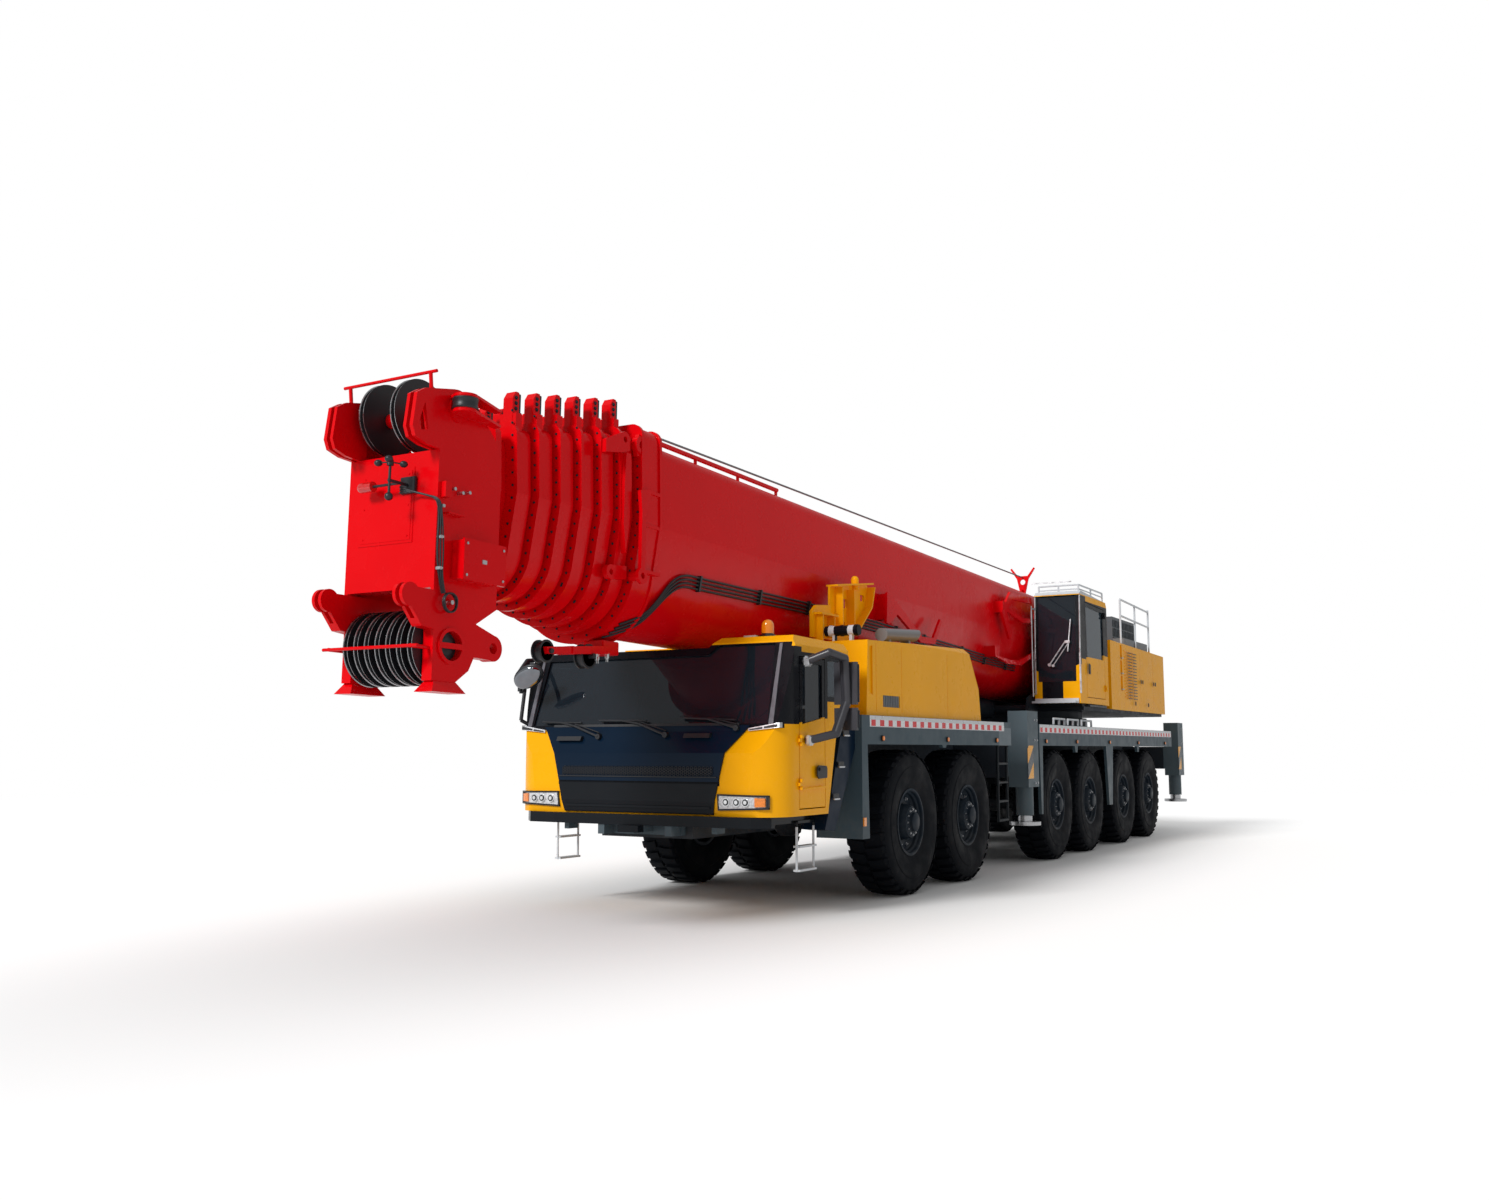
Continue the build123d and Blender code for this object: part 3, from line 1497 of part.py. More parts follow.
def boom_base():
    body = boom_tube(0, -boom_tail, base_front, boom_wall)
    cut = side_prism([
        (along(-boom_tail - 10), up(boom_bottom - 60)),
        (along(760), up(boom_bottom - 60)),
        (along(760), up(boom_bottom + 2)),
        (along(-boom_tail + 60), up(-190)),
        (along(-boom_tail - 10), up(-190)),
    ], -900, 900)
    body = body - cut
    body = body + collar_ring(0, base_collar_rise, base_front, base_collar_length)
    rear = base_front - base_collar_length
    body = body + boom_tube(base_collar_rise, rear, rear + collar_rib_length, collar_rib + 10)
    for side in (-1, 1):
        boss = cross_bar(pivot_x, pivot_z, side * (boom_half_width - 70), side * (side_plate_y - 6), 190)
        body = body + boss
    tube = cross_bar(pivot_x, pivot_z, -boom_half_width + 5, boom_half_width - 5, 130)
    body = body + tube
    bore = pivot_pin_radius + pivot_clearance
    body = body - cross_bar(pivot_x, pivot_z, -side_plate_y, side_plate_y, bore)
    body = body + rod_lugs()
    for side in (-1, 1):
        body = body + base_collar_fittings(side) + boom_top_rail(side)
        for piece in jib_supports(side):
            body = body + (piece - boom_tube(-3, 3000, 8700, 0))
    body = body + rope_fork(rope_fork_y)
    return tilt(body)


def base_collar_fittings(side):
    """The jib lug and the link bar on the base collar, and the ribs between its flanges."""
    near = boom_half_width + 48
    lug = boom_plate([
        (base_front - 230, 900),
        (base_front - 160, 1075),
        (base_front + 20, 1090),
        (base_front + 70, 1010),
        (base_front + 40, 900),
    ], side * (near - 30), side * (near + 12))
    lug = lug + round_end(base_front - 5, 1000, 78, side * (near - 30), side * (near + 22))
    lug = lug - round_end(base_front - 5, 1000, 34, side * (near - 40), side * (near + 40))
    out = boom_half_width + base_collar_rise
    link = boom_plate([
        (base_front - 105, 640),
        (base_front + 60, 600),
        (base_front + 34, 420),
        (base_front + 34, -90),
        (base_front - 24, -90),
        (base_front - 24, 420),
    ], side * (out - 12), side * (out + 22))
    link = link + round_end(base_front + 5, -110, 66, side * (out - 12), side * (out + 22))
    link = link + round_end(base_front + 5, -110, 40, side * (out - 100), side * (out - 11))
    link = link - round_end(base_front + 5, -110, 26, side * (out - 30), side * (out + 30))
    body = lug + link
    for v in (330, 620, -60):
        body = body + boom_plate([
            (base_front - base_collar_length + 10, v - 14),
            (base_front - 20, v - 14),
            (base_front - 20, v + 14),
            (base_front - base_collar_length + 10, v + 14),
        ], side * (out - 130), side * (out - 8))
    return body


def boom_top_rail(side):
    """The long guard tube on the boom's top edge."""
    y = side * top_rail_y
    front = base_front - base_collar_length - 60
    pieces = [bar((along(top_rail_rear), y, up(top_rail_v)), (along(front), y, up(top_rail_v)), top_rail_radius)]
    for i in range(top_rail_posts):
        u = top_rail_rear + 20 + i * (front - top_rail_rear - 40) / (top_rail_posts - 1)
        pieces.append(post(along(u), y, up(boom_top - 8), up(top_rail_v), top_rail_radius - 6))
    return joined(pieces)


def jib_supports(side):
    """The hooks and frames on the boom's side that carry a folded jib."""
    skin = boom_half_width - 40
    near = side * jib_plate_y
    far = side * (jib_plate_y + jib_plate_thick)
    wide = side * (skin - 40)
    front = boom_plate([
        (8615, 20),
        (8590, 375),
        (8500, 375),
        (7560, -40),
        (7200, -20),
        (6960, 240),
        (6915, 215),
        (7150, -95),
        (7600, -115),
        (8300, 150),
        (8540, 10),
    ], near, far)
    front = front + boom_plate([(8600, 60), (8600, 360), (8420, 360), (8420, 60)], wide, far)
    rear = boom_plate([
        (4880, 70),
        (4800, -40),
        (4300, -60),
        (3880, -30),
        (3180, 150),
        (3150, 110),
        (3800, -95),
        (4420, -125),
        (4900, -60),
        (4960, 90),
    ], near, far)
    rear = rear + boom_plate([(4940, -60), (4940, 90), (4780, 90), (4780, -60)], wide, far)
    frame = boom_plate([
        (4640, 600),
        (4260, 930),
        (3300, 960),
        (3260, 870),
        (4180, 830),
        (4420, 640),
        (4240, 250),
        (4320, 240),
    ], near, far)
    frame = frame + boom_plate([
        (4480, 700),
        (3700, 610),
        (3120, 660),
        (3090, 760),
        (3030, 760),
        (3040, 600),
        (3700, 540),
        (4500, 640),
    ], near, far)
    frame = frame + boom_plate([(4600, 600), (4600, 760), (4440, 760), (4440, 600)], side * (skin - 60), far)
    return [front, rear, frame]


def rope_fork(y):
    """The V guide that keeps the hoist rope on the boom."""
    plane = [
        (-34, boom_top - 12),
        (34, boom_top - 12),
        (92, boom_top + 250),
        (196, boom_top + 410),
        (176, boom_top + 425),
        (66, boom_top + 280),
        (-66, boom_top + 280),
        (-176, boom_top + 425),
        (-196, boom_top + 410),
        (-92, boom_top + 250),
    ]
    points = [(y + dy, up(v)) for dy, v in plane]
    fork = front_prism(points, along(rope_fork_u), along(rope_fork_u + 24))
    cheek = box(along(rope_fork_u - 90), along(rope_fork_u + 120), y - 12, y + 12, up(boom_top - 12), up(boom_top + 70))
    window = bar((along(rope_fork_u - 10), y, up(boom_top + 200)), (along(rope_fork_u + 40), y, up(boom_top + 200)), 42)
    bridge = cross_bar(along(rope_fork_u + 12), up(boom_top + 285), y - 92, y + 92, 13)
    return (fork - window) + cheek + bridge


def rod_lugs():
    """The two lugs under the boom that the luffing rod's eye sits between."""
    half = cylinder_eye_width / 2 + rod_lug_gap
    low = boom_bottom - eye_drop
    outline = [
        (along(eye_u - 190), up(boom_bottom + 30)),
        (along(eye_u - 110), up(low - 50)),
        (along(eye_u), up(low - 110)),
        (along(eye_u + 110), up(low - 50)),
        (along(eye_u + 330), up(boom_bottom + 30)),
    ]
    pieces = []
    for side in (-1, 1):
        pieces.append(side_prism(outline, side * half, side * (half + rod_lug_thick)))
    pin_half = half + rod_lug_thick + 12
    pieces.append(cross_bar(along(eye_u), up(low), -pin_half, pin_half, cylinder_pin_radius))
    return joined(pieces)


def section_front(k):
    return base_front + k * collar_pitch


def heel(grow, rear):
    """The slide shoe round a section's rear end, which runs in the section outside it."""
    reach = section_step - boom_wall - slide_gap
    return boom_tube(grow + reach, rear, rear + heel_length, reach + boom_wall)


def pad_tower(front, y, top):
    """One upright pad holder on a collar, its front corner cut away."""
    half = pad_tower_width / 2
    crest = top + pad_tower_height
    tower = boom_plate([
        (front - pad_tower_depth, top - 60),
        (front - pad_tower_depth, crest),
        (front - 45, crest),
        (front - 10, crest - 55),
        (front - 10, top - 60),
    ], y - half, y + half)
    foot = boom_plate([
        (front - pad_tower_depth, top - 60),
        (front - pad_tower_depth, top + 75),
        (front - 14, top + 75),
        (front - 14, top - 60),
    ], y - half - 34, y + half + 34)
    return tower + foot


def first_section_links(side):
    """The lever, the link plate and the eye on the first section's collar."""
    front = section_front(1)
    out = boom_half_width - section_step + collar_rise
    lever = boom_plate([
        (front + 235, 850),
        (front + 235, 960),
        (front - 10, 1075),
        (front - 100, 1040),
        (front - 100, 930),
        (front - 20, 900),
    ], side * (out - 34), side * (out + 4))
    lever = lever + round_end(front - 30, 1010, 66, side * (out - 34), side * (out + 4))
    lever = lever - round_end(front - 30, 1010, 26, side * (out - 60), side * (out + 20))
    plate = boom_plate([
        (front - 92, 900),
        (front - 30, 900),
        (front - 12, 650),
        (front - 12, 300),
        (front - 50, 60),
        (front - 90, 300),
        (front - 110, 650),
    ], side * (out - 30), side * (out + 20))
    eye = boom_plate([
        (front - 150, -140),
        (front + 60, -165),
        (front + 60, -45),
        (front - 150, -30),
    ], side * (out - 90), side * (out - 42))
    eye = eye + round_end(front + 60, -105, 60, side * (out - 90), side * (out - 42))
    eye = eye - round_end(front + 60, -105, 25, side * (out - 120), side * out)
    return lever + plate + eye


def boom_section(k):
    """Telescopic section k, with its collar and pad towers."""
    grow = -section_step * k
    front = section_front(k)
    rear = front - section_length - section_rear_step * k
    body = boom_tube(grow, rear, front, boom_wall)
    body = body + collar_ring(grow, collar_rise, front, collar_length)
    body = body + heel(grow, rear)
    top = boom_top + grow + collar_rise
    for side in (-1, 1):
        body = body + pad_tower(front, side * (pad_tower_y + pad_tower_in * grow), top)
        if k == 1:
            body = body + first_section_links(side)
    return tilt(body)


def frustum(low, high, z0, z1):
    """A block that tapers between two rectangles, each given as x0, x1, y0, y1."""
    faces = []
    for (x0, x1, y0, y1), z in ((low, z0), (high, z1)):
        plane = Plane(origin=((x0 + x1) / 2, (y0 + y1) / 2, z))
        faces.append(plane * Rectangle(abs(x1 - x0), abs(y1 - y0)))
    return loft(faces)


def round_end(u, v, radius, y0, y1):
    """A disc across the boom, in boom coordinates."""
    return cross_bar(along(u), up(v), y0, y1, radius)


def boom_plate(points, y0, y1):
    """A plate along the boom, its outline in boom coordinates."""
    return side_prism([(along(u), up(v)) for u, v in points], y0, y1)


def head_cheek(y0, y1):
    """The head's side plate, with its jib lugs at the front."""
    lug_u = head_front + jib_lug_reach
    plate = boom_plate([
        (head_back, head_bottom - 60),
        (head_back, head_top + 60),
        (head_back + 75, head_top + 190),
        (top_sheave_u - 180, top_sheave_v + 92),
        (top_sheave_u + 40, top_sheave_v + cheek_round - 4),
        (lug_u - 110, head_top + 400),
        (lug_u - 30, head_top + 350),
        (lug_u, head_top + 110),
        (lug_u - 30, head_top + 40),
        (head_front + 130, head_top + 8),
        (head_front, head_top),
        (head_front, head_bottom),
        (low_sheave_u - 250, head_bottom - 60),
    ], y0, y1)
    plate = plate + round_end(top_sheave_u, top_sheave_v, cheek_round, y0, y1)
    hole = boom_plate([
        (lug_u - 150, head_top + 110),
        (lug_u - 75, head_top + 95),
        (lug_u - 60, head_top + 150),
        (lug_u - 110, head_top + 300),
    ], y0 - 1, y1 + 1)
    return plate - hole


def low_cheek(y0, y1):
    """The boxed lower cheek that carries the hook rope sheaves."""
    front = head_front - 15
    floor = low_sheave_v - low_cheek_drop
    lug_u = head_front + jib_lug_reach - 55
    plate = boom_plate([
        (head_back, head_bottom - 60),
        (head_back + 300, head_bottom + 10),
        (head_front - 40, head_bottom + 10),
        (lug_u, head_bottom + 10),
        (lug_u + 20, head_bottom - 90),
        (head_front + 100, head_bottom - 250),
        (front, head_bottom - 262),
        (front, floor),
        (low_sheave_u - 60, floor),
        (low_sheave_u - 190, floor + 90),
        (low_sheave_u - 242, low_sheave_v - 60),
        (jib_pin_u - 30, jib_pin_v - 88),
        (jib_pin_u - 30, jib_pin_v + 88),
        (low_sheave_u - 250, low_sheave_v + 180),
    ], y0, y1)
    plate = plate + round_end(jib_pin_u, jib_pin_v, 95, y0, y1)
    return plate + round_end(lug_u, head_bottom - 45, 82, y0, y1)


def head_side(side):
    """Everything on one side of the head."""
    out = head_half_width
    body = head_cheek(side * (out - head_plate), side * out)
    inner_lug = head_cheek(side * (out - low_cheek_box), side * (out - low_cheek_box + lug_thick))
    body = body + (inner_lug & boom_plate([
        (head_front - 60, head_top - 40),
        (head_front - 60, head_top + 460),
        (head_front + 400, head_top + 460),
        (head_front + 400, head_top - 40),
    ], -out, out))
    low = low_cheek(side * (out - low_cheek_box), side * out)
    slot = boom_plate([
        (head_front + 12, head_bottom + 60),
        (head_front + 400, head_bottom + 60),
        (head_front + 400, head_bottom - 200),
        (head_front + 80, head_bottom - 200),
    ], side * (out - low_cheek_box + lug_thick), side * (out - lug_thick))
    body = body + (low - slot)
    window = round_end(low_sheave_u, low_sheave_v, eye_window, side * (out - 60), side * (out + 1))
    boss = round_end(low_sheave_u, low_sheave_v, eye_window + 26, side * (out - 5), side * (out + 14))
    body = (body + boss) - window - round_end(low_sheave_u, low_sheave_v, eye_window, side * out, side * (out + 15))
    strap = boom_plate([
        (low_sheave_u - eye_window - 22, low_sheave_v - 20),
        (low_sheave_u + eye_window + 22, low_sheave_v - 20),
        (low_sheave_u + eye_window + 22, low_sheave_v + 20),
        (low_sheave_u - eye_window - 22, low_sheave_v + 20),
    ], side * (out + 4), side * (out + 16))
    body = body + strap
    floor = up(low_sheave_v - low_cheek_drop)
    mid = side * (out - low_cheek_box / 2)
    wide = (along(low_sheave_u - 130), along(low_sheave_u + 205), mid - 85, mid + 85)
    slim = (along(low_sheave_u - 68), along(low_sheave_u + 150), mid - 42, mid + 42)
    body = body + frustum(wide, slim, floor - foot_drop, floor + 1)
    post_y = side * (out - 40)
    body = body + bar((along(head_front + 60), post_y, up(head_top + 380)),
                      (along(guard_u), post_y, up(guard_top_v)), guard_radius + 2)
    guard_out = guard_u + 70
    body = body + bar((along(head_front - 30), post_y, up(guard_low_v)),
                      (along(guard_out + 8), post_y, up(guard_low_v)), guard_radius + 2)
    return body


def roller_arms():
    """The rope roller beside the head, between two arms."""
    y0 = head_half_width
    arms = []
    for v in (roller_v - roller_height / 2 - 20, roller_v + roller_height / 2):
        arm = plan_prism([
            (along(head_back + 90), y0 - 1),
            (along(roller_u + 60), y0 - 1),
            (along(roller_u + 60), roller_y + 40),
            (along(roller_u - 20), roller_y + 85),
            (along(head_back + 90), y0 + 60),
        ], up(v), up(v + 20))
        arms.append(arm + post(along(roller_u), roller_y, up(v), up(v + 20), 88))
    drum = post(along(roller_u), roller_y, up(roller_v - roller_height / 2 - 1),
                up(roller_v + roller_height / 2 + 1), roller_radius)
    return joined(arms) + drum


def junction_box():
    """The cable junction box on the head's side."""
    y0 = head_half_width
    body = box(along(head_back + 70), along(head_back + 490), y0 - 1, y0 + 124, up(-385), up(-110))
    lid = box(along(head_back + 60), along(head_back + 500), y0 + 112, y0 + 130, up(-395), up(-100))
    small = box(along(head_front - 90), along(head_front - 30), y0 - 1, y0 + 46, up(180), up(290))
    bracket = box(along(head_front - 230), along(head_front - 60), y0 - 1, y0 + 60, up(64), up(76))
    return body + lid + small + bracket


def boom_head():
    grow = -section_step * (section_count + 1)
    rear = section_front(section_count) - section_length - section_rear_step * (section_count + 1)
    body = boom_tube(grow, rear, head_back + 40, boom_wall) + heel(grow, rear)
    back = box(along(head_back), along(head_back + head_plate), -head_half_width, head_half_width,
               up(head_bottom), up(head_top + 60))
    front = box(along(head_front - head_plate), along(head_front), -head_half_width, head_half_width,
                up(head_bottom + head_mouth), up(head_top))
    roof = box(along(head_front - head_plate - 80), along(head_front), -head_half_width, head_half_width,
               up(head_top - head_plate), up(head_top))
    lip = box(along(head_front - 150), along(head_front), -head_half_width, head_half_width,
              up(head_bottom + head_mouth - 1), up(head_bottom + head_mouth + 30))
    ring = boom_tube(grow + collar_rise, head_back - 60, head_back + 1, collar_rise + boom_wall / 2)
    body = body + back + front + roof + lip + ring
    for side in (-1, 1):
        body = body + head_side(side)
    span = head_half_width
    body = body - round_end(jib_pin_u, jib_pin_v, jib_bore_radius, -span - 1, span + 1)
    body = body + round_end(top_sheave_u, top_sheave_v, sheave_pin_radius, -span, span)
    body = body + round_end(low_sheave_u, low_sheave_v, sheave_pin_radius, -span + 50, span - 50)
    body = body + round_end(top_sheave_u, top_sheave_v, 95, span - 1, span + 16)
    for u, v in ((guard_u, guard_top_v), (guard_u + 70, guard_low_v)):
        body = body + cross_bar(along(u), up(v), -span - 20, span + 20, guard_radius)
    body = body + roller_arms() + junction_box()
    return tilt(body)


def sheave(y):
    """One grooved sheave on the origin, its axle along Y."""
    half = sheave_width / 2
    bore = sheave_pin_radius + sheave_clearance
    return ring_profile([
        (bore, y - half),
        (bore, y + half),
        (sheave_radius, y + half),
        (sheave_radius - 40, y + 8),
        (sheave_radius - 40, y - 8),
        (sheave_radius, y - half),
    ])


def make_boom():
    write("boom_base", boom_base())
    for k in range(1, section_count + 1):
        write(f"boom_section_{k}", boom_section(k))
    write("boom_head", boom_head())
    top = Pos(along(top_sheave_u), 0, up(top_sheave_v)) * Compound(children=[sheave(y) for y in top_sheave_y])
    write("sheaves_top", tilt(top))
    first = -(low_sheave_count - 1) / 2 * low_sheave_pitch
    wheels = [sheave(first + i * low_sheave_pitch) for i in range(low_sheave_count)]
    low = Pos(along(low_sheave_u), 0, up(low_sheave_v)) * Compound(children=wheels)
    write("sheaves_low", tilt(low))


def eye_place():
    """Where the luffing rod's eye sits at rest, in X and Z."""
    u = eye_u
    v = boom_bottom - eye_drop
    slope = math.radians(boom_slope)
    x = pivot_x + u * math.cos(slope) - v * math.sin(slope)
    z = pivot_z + u * math.sin(slope) + v * math.cos(slope)
    return x, z


def make_cylinder():
    eye_x, eye_z = eye_place()
    reach = math.hypot(eye_x - foot_x, eye_z - foot_z)
    angle = math.degrees(math.atan2(eye_z - foot_z, eye_x - foot_x))
    end = reach - barrel_end_gap
    half = cylinder_eye_width / 2
    bore = cylinder_pin_radius + cylinder_pin_gap
    barrel = bar((cylinder_eye_radius * 0.6, 0, 0), (end, 0, 0), barrel_radius)
    barrel = barrel + cross_bar(0, 0, -half, half, cylinder_eye_radius)
    barrel = barrel - bar((cylinder_eye_radius + 40, 0, 0), (end - 90, 0, 0), barrel_bore)
    barrel = barrel - bar((end - 120, 0, 0), (end + 1, 0, 0), rod_radius + rod_gland)
    barrel = barrel - cross_bar(0, 0, -half - 1, half + 1, bore)
    rod = bar((cylinder_eye_radius + 60, 0, 0), (reach - 60, 0, 0), rod_radius)
    rod = rod + bar((cylinder_eye_radius + 60, 0, 0), (cylinder_eye_radius + 140, 0, 0), barrel_bore - 0.5)
    rod = rod + cross_bar(reach, 0, -half, half, cylinder_eye_radius)
    rod = rod - cross_bar(reach, 0, -half - 1, half + 1, bore)
    place = Pos(foot_x, 0, foot_z) * Rot(0, -angle, 0)
    write("luffing_barrel", place * barrel)
    write("luffing_rod", place * rod)


os.makedirs("parts", exist_ok=True)
make_running_gear()
make_frame()
make_deck()
make_outriggers()
make_cab()
make_cab_fittings()
make_housing()
make_turntable()
make_machinery()
make_operator_cab()
make_winches()
make_boom()
make_cylinder()
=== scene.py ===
import bpy
import bmesh
import math
from mathutils import Matrix, Vector


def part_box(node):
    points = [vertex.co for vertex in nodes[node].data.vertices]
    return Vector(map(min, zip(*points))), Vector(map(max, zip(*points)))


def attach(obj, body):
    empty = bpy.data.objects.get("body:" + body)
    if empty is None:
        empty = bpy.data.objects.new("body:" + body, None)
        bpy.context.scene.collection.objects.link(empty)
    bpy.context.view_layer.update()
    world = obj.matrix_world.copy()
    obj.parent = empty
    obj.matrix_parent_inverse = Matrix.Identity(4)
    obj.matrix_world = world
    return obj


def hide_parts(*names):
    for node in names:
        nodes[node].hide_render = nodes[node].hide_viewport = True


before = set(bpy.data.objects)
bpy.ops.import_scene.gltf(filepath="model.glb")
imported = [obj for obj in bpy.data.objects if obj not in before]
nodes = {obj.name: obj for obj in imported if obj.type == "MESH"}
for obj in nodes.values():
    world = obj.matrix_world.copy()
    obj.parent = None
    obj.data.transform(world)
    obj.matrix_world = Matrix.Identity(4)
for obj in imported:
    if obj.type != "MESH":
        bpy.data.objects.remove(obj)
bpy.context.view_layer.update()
sides = ((1, "left"), (-1, "right"))


def feed(tree, socket, value):
    if isinstance(value, bpy.types.NodeSocket):
        tree.links.new(value, socket)
    else:
        socket.default_value = value


def addNode(tree, kind, values=None, **settings):
    node = tree.nodes.new(kind)
    for name, value in settings.items():
        setattr(node, name, value)
    for key, value in (values or {}).items():
        feed(tree, node.inputs[key], value)
    return node


def objectPoint(tree, scale=(1, 1, 1)):
    coords = addNode(tree, "ShaderNodeTexCoord").outputs["Object"]
    return addNode(tree, "ShaderNodeMapping", {"Vector": coords, "Scale": scale}).outputs["Vector"]


def axesOf(tree, point):
    return addNode(tree, "ShaderNodeSeparateXYZ", {0: point}).outputs


def noiseAt(tree, point, scale, detail=4.0, rough=0.55):
    values = {"Vector": point, "Scale": scale, "Detail": detail, "Roughness": rough}
    return addNode(tree, "ShaderNodeTexNoise", values).outputs["Fac"]


def ramp(tree, value, stops, interpolation="LINEAR"):
    node = addNode(tree, "ShaderNodeValToRGB", {"Fac": value})
    node.color_ramp.interpolation = interpolation
    for item, (place, colour) in zip(node.color_ramp.elements, stops):
        item.position = place
        item.color = (*colour, 1)
    return node.outputs["Color"]


def span(tree, value, low, high, outLow, outHigh):
    values = {"Value": value, "From Min": low, "From Max": high, "To Min": outLow, "To Max": outHigh}
    return addNode(tree, "ShaderNodeMapRange", values, interpolation_type="SMOOTHSTEP").outputs["Result"]


def mixColour(tree, amount, first, second):
    return addNode(tree, "ShaderNodeMix", {0: amount, 6: first, 7: second}, data_type="RGBA").outputs[2]


def maths(tree, kind, first, second=0.0):
    return addNode(tree, "ShaderNodeMath", {0: first, 1: second}, operation=kind).outputs[0]


def vectorMaths(tree, kind, first, second=(0, 0, 0)):
    return addNode(tree, "ShaderNodeVectorMath", {0: first, 1: second}, operation=kind).outputs


def bumpOn(tree, shader, height, strength, distance):
    values = {"Height": height, "Strength": strength, "Distance": distance}
    feed(tree, shader.inputs["Normal"], addNode(tree, "ShaderNodeBump", values).outputs["Normal"])


def setShader(tree, shader, values):
    for key, value in values.items():
        feed(tree, shader.inputs[key], value)


def newFinish(name, scale=(1, 1, 1)):
    finish = bpy.data.materials.new(name)
    finish.use_nodes = True
    tree = finish.node_tree
    return finish, tree, tree.nodes["Principled BSDF"], objectPoint(tree, scale)


def dimmed(colour, share):
    return tuple(c * share for c in colour)


# Base colours, and the tones of the zones on them
paints = {
    "yellow": (1.0, 0.45, 0.002), "red": (0.78, 0.0005, 0.004), "grey": (0.060, 0.092, 0.112),
    "paleGrey": (0.10, 0.135, 0.155), "dark": (0.022, 0.028, 0.036), "navy": (0.003, 0.013, 0.031),
    "hub": (0.009, 0.018, 0.030), "black": (0.006, 0.007, 0.010), "silver": (0.62, 0.65, 0.68),
    "orange": (1.0, 0.30, 0.004), "grille": (0.008, 0.010, 0.013), "towGrey": (0.075, 0.10, 0.115),
    "roofGrey": (0.10, 0.115, 0.13), "coolerGrey": (0.16, 0.17, 0.18), "shadowGrey": (0.05, 0.055, 0.06),
    "ladderGrey": (0.15, 0.19, 0.215), "archPaintedShade": (0.012, 0.016, 0.02), "plateGrey": (0.20, 0.22, 0.24),
    "meshDark": (0.03, 0.034, 0.04), "pipeGrey": (0.22, 0.23, 0.245), "sideGlassPaintedReflection": (0.075, 0.115, 0.15),
}


def block(x=(None, None), y=(None, None), z=(None, None)):
    planes = []
    for axis, (low, high) in enumerate((x, y, z)):
        for sign, limit in ((1, low), (-1, high)):
            if limit is not None:
                normal = [0.0, 0.0, 0.0]
                normal[axis] = float(sign)
                planes.append((tuple(normal), sign * limit))
    return planes


def zoneMask(tree, point, planes):
    x, y, z = axesOf(tree, point)
    folded = {"X": x, "Y": maths(tree, "ABSOLUTE", y), "Z": z}  # both sides of the crane are alike
    place = addNode(tree, "ShaderNodeCombineXYZ", folded).outputs[0]
    mask = 1.0
    for normal, limit in planes:
        reach = vectorMaths(tree, "DOT_PRODUCT", place, normal)["Value"]
        mask = maths(tree, "MULTIPLY", maths(tree, "GREATER_THAN", reach, limit), mask)
    return mask


def withZones(tree, point, base, zones):
    for planes, tone in zones:
        base = mixColour(tree, zoneMask(tree, point, planes), base, (*paints[tone], 1))
    return base


paintLook = {
    "shade": 0.94, "cloudScale": 1.7, "roughScale": 6.0, "coatShare": 0.14, "coatRough": 0.08,
    "specular": 0.10, "dustTone": (0.17, 0.16, 0.145, 1), "dustLow": 0.2, "dustTop": 1.3,
    "gritScale": 9.0, "bumpScale": 40.0, "bump": 0.015,
}


def paintFinish(name, paint, rough, coat, dust, zones=()):
    look, colour = paintLook, paints[paint]
    finish, tree, shader, point = newFinish(name)
    cloud = noiseAt(tree, point, look["cloudScale"], 5)
    base = ramp(tree, cloud, [(0.3, dimmed(colour, look["shade"])), (0.7, colour)])
    low = span(tree, axesOf(tree, point)["Z"], look["dustLow"], look["dustTop"], dust, 0.0)
    grit = span(tree, noiseAt(tree, point, look["gritScale"], 8, 0.7), 0.35, 0.65, 0.2, 1.0)
    base = mixColour(tree, maths(tree, "MULTIPLY", low, grit), base, look["dustTone"])
    haze = noiseAt(tree, point, look["roughScale"], 6)
    setShader(tree, shader, {
        "Base Color": withZones(tree, point, base, zones),
        "Roughness": span(tree, haze, 0.3, 0.7, rough * 0.8, rough * 1.25),
        "Coat Weight": coat * look["coatShare"], "Coat Roughness": look["coatRough"],
        "Specular IOR Level": look["specular"],
    })
    bumpOn(tree, shader, noiseAt(tree, point, look["bumpScale"], 2), look["bump"], 0.002)
    return finish


def metalFinish(name, colour, rough, brush=(1, 1, 1), metallic=1.0):
    finish, tree, shader, point = newFinish(name, brush)
    streak = noiseAt(tree, point, 14.0, 6)
    setShader(tree, shader, {
        "Base Color": ramp(tree, streak, [(0.25, dimmed(colour, 0.8)), (0.75, colour)]),
        "Roughness": span(tree, streak, 0.3, 0.7, rough * 0.75, rough * 1.3), "Metallic": metallic,
    })
    bumpOn(tree, shader, streak, 0.08, 0.001)
    return finish


def rubberFinish(name, worn, dusty):
    finish, tree, shader, point = newFinish(name)
    dirt = noiseAt(tree, point, 5.0, 8, 0.65)
    setShader(tree, shader, {
        "Base Color": ramp(tree, dirt, [(0.35, worn), (0.7, dusty)]),
        "Roughness": span(tree, dirt, 0.3, 0.7, 0.5, 0.78), "Specular IOR Level": 0.10,
    })
    bumpOn(tree, shader, noiseAt(tree, point, 160.0, 3), 0.25, 0.002)
    return finish


def plasticFinish(name, colour, rough):
    finish, tree, shader, point = newFinish(name)
    grain = noiseAt(tree, point, 260.0, 2)
    setShader(tree, shader, {
        "Base Color": ramp(tree, noiseAt(tree, point, 4.0), [(0.3, dimmed(colour, 0.8)), (0.7, colour)]),
        "Roughness": span(tree, grain, 0.3, 0.7, rough * 0.85, rough * 1.15),
    })
    bumpOn(tree, shader, grain, 0.15, 0.001)
    return finish


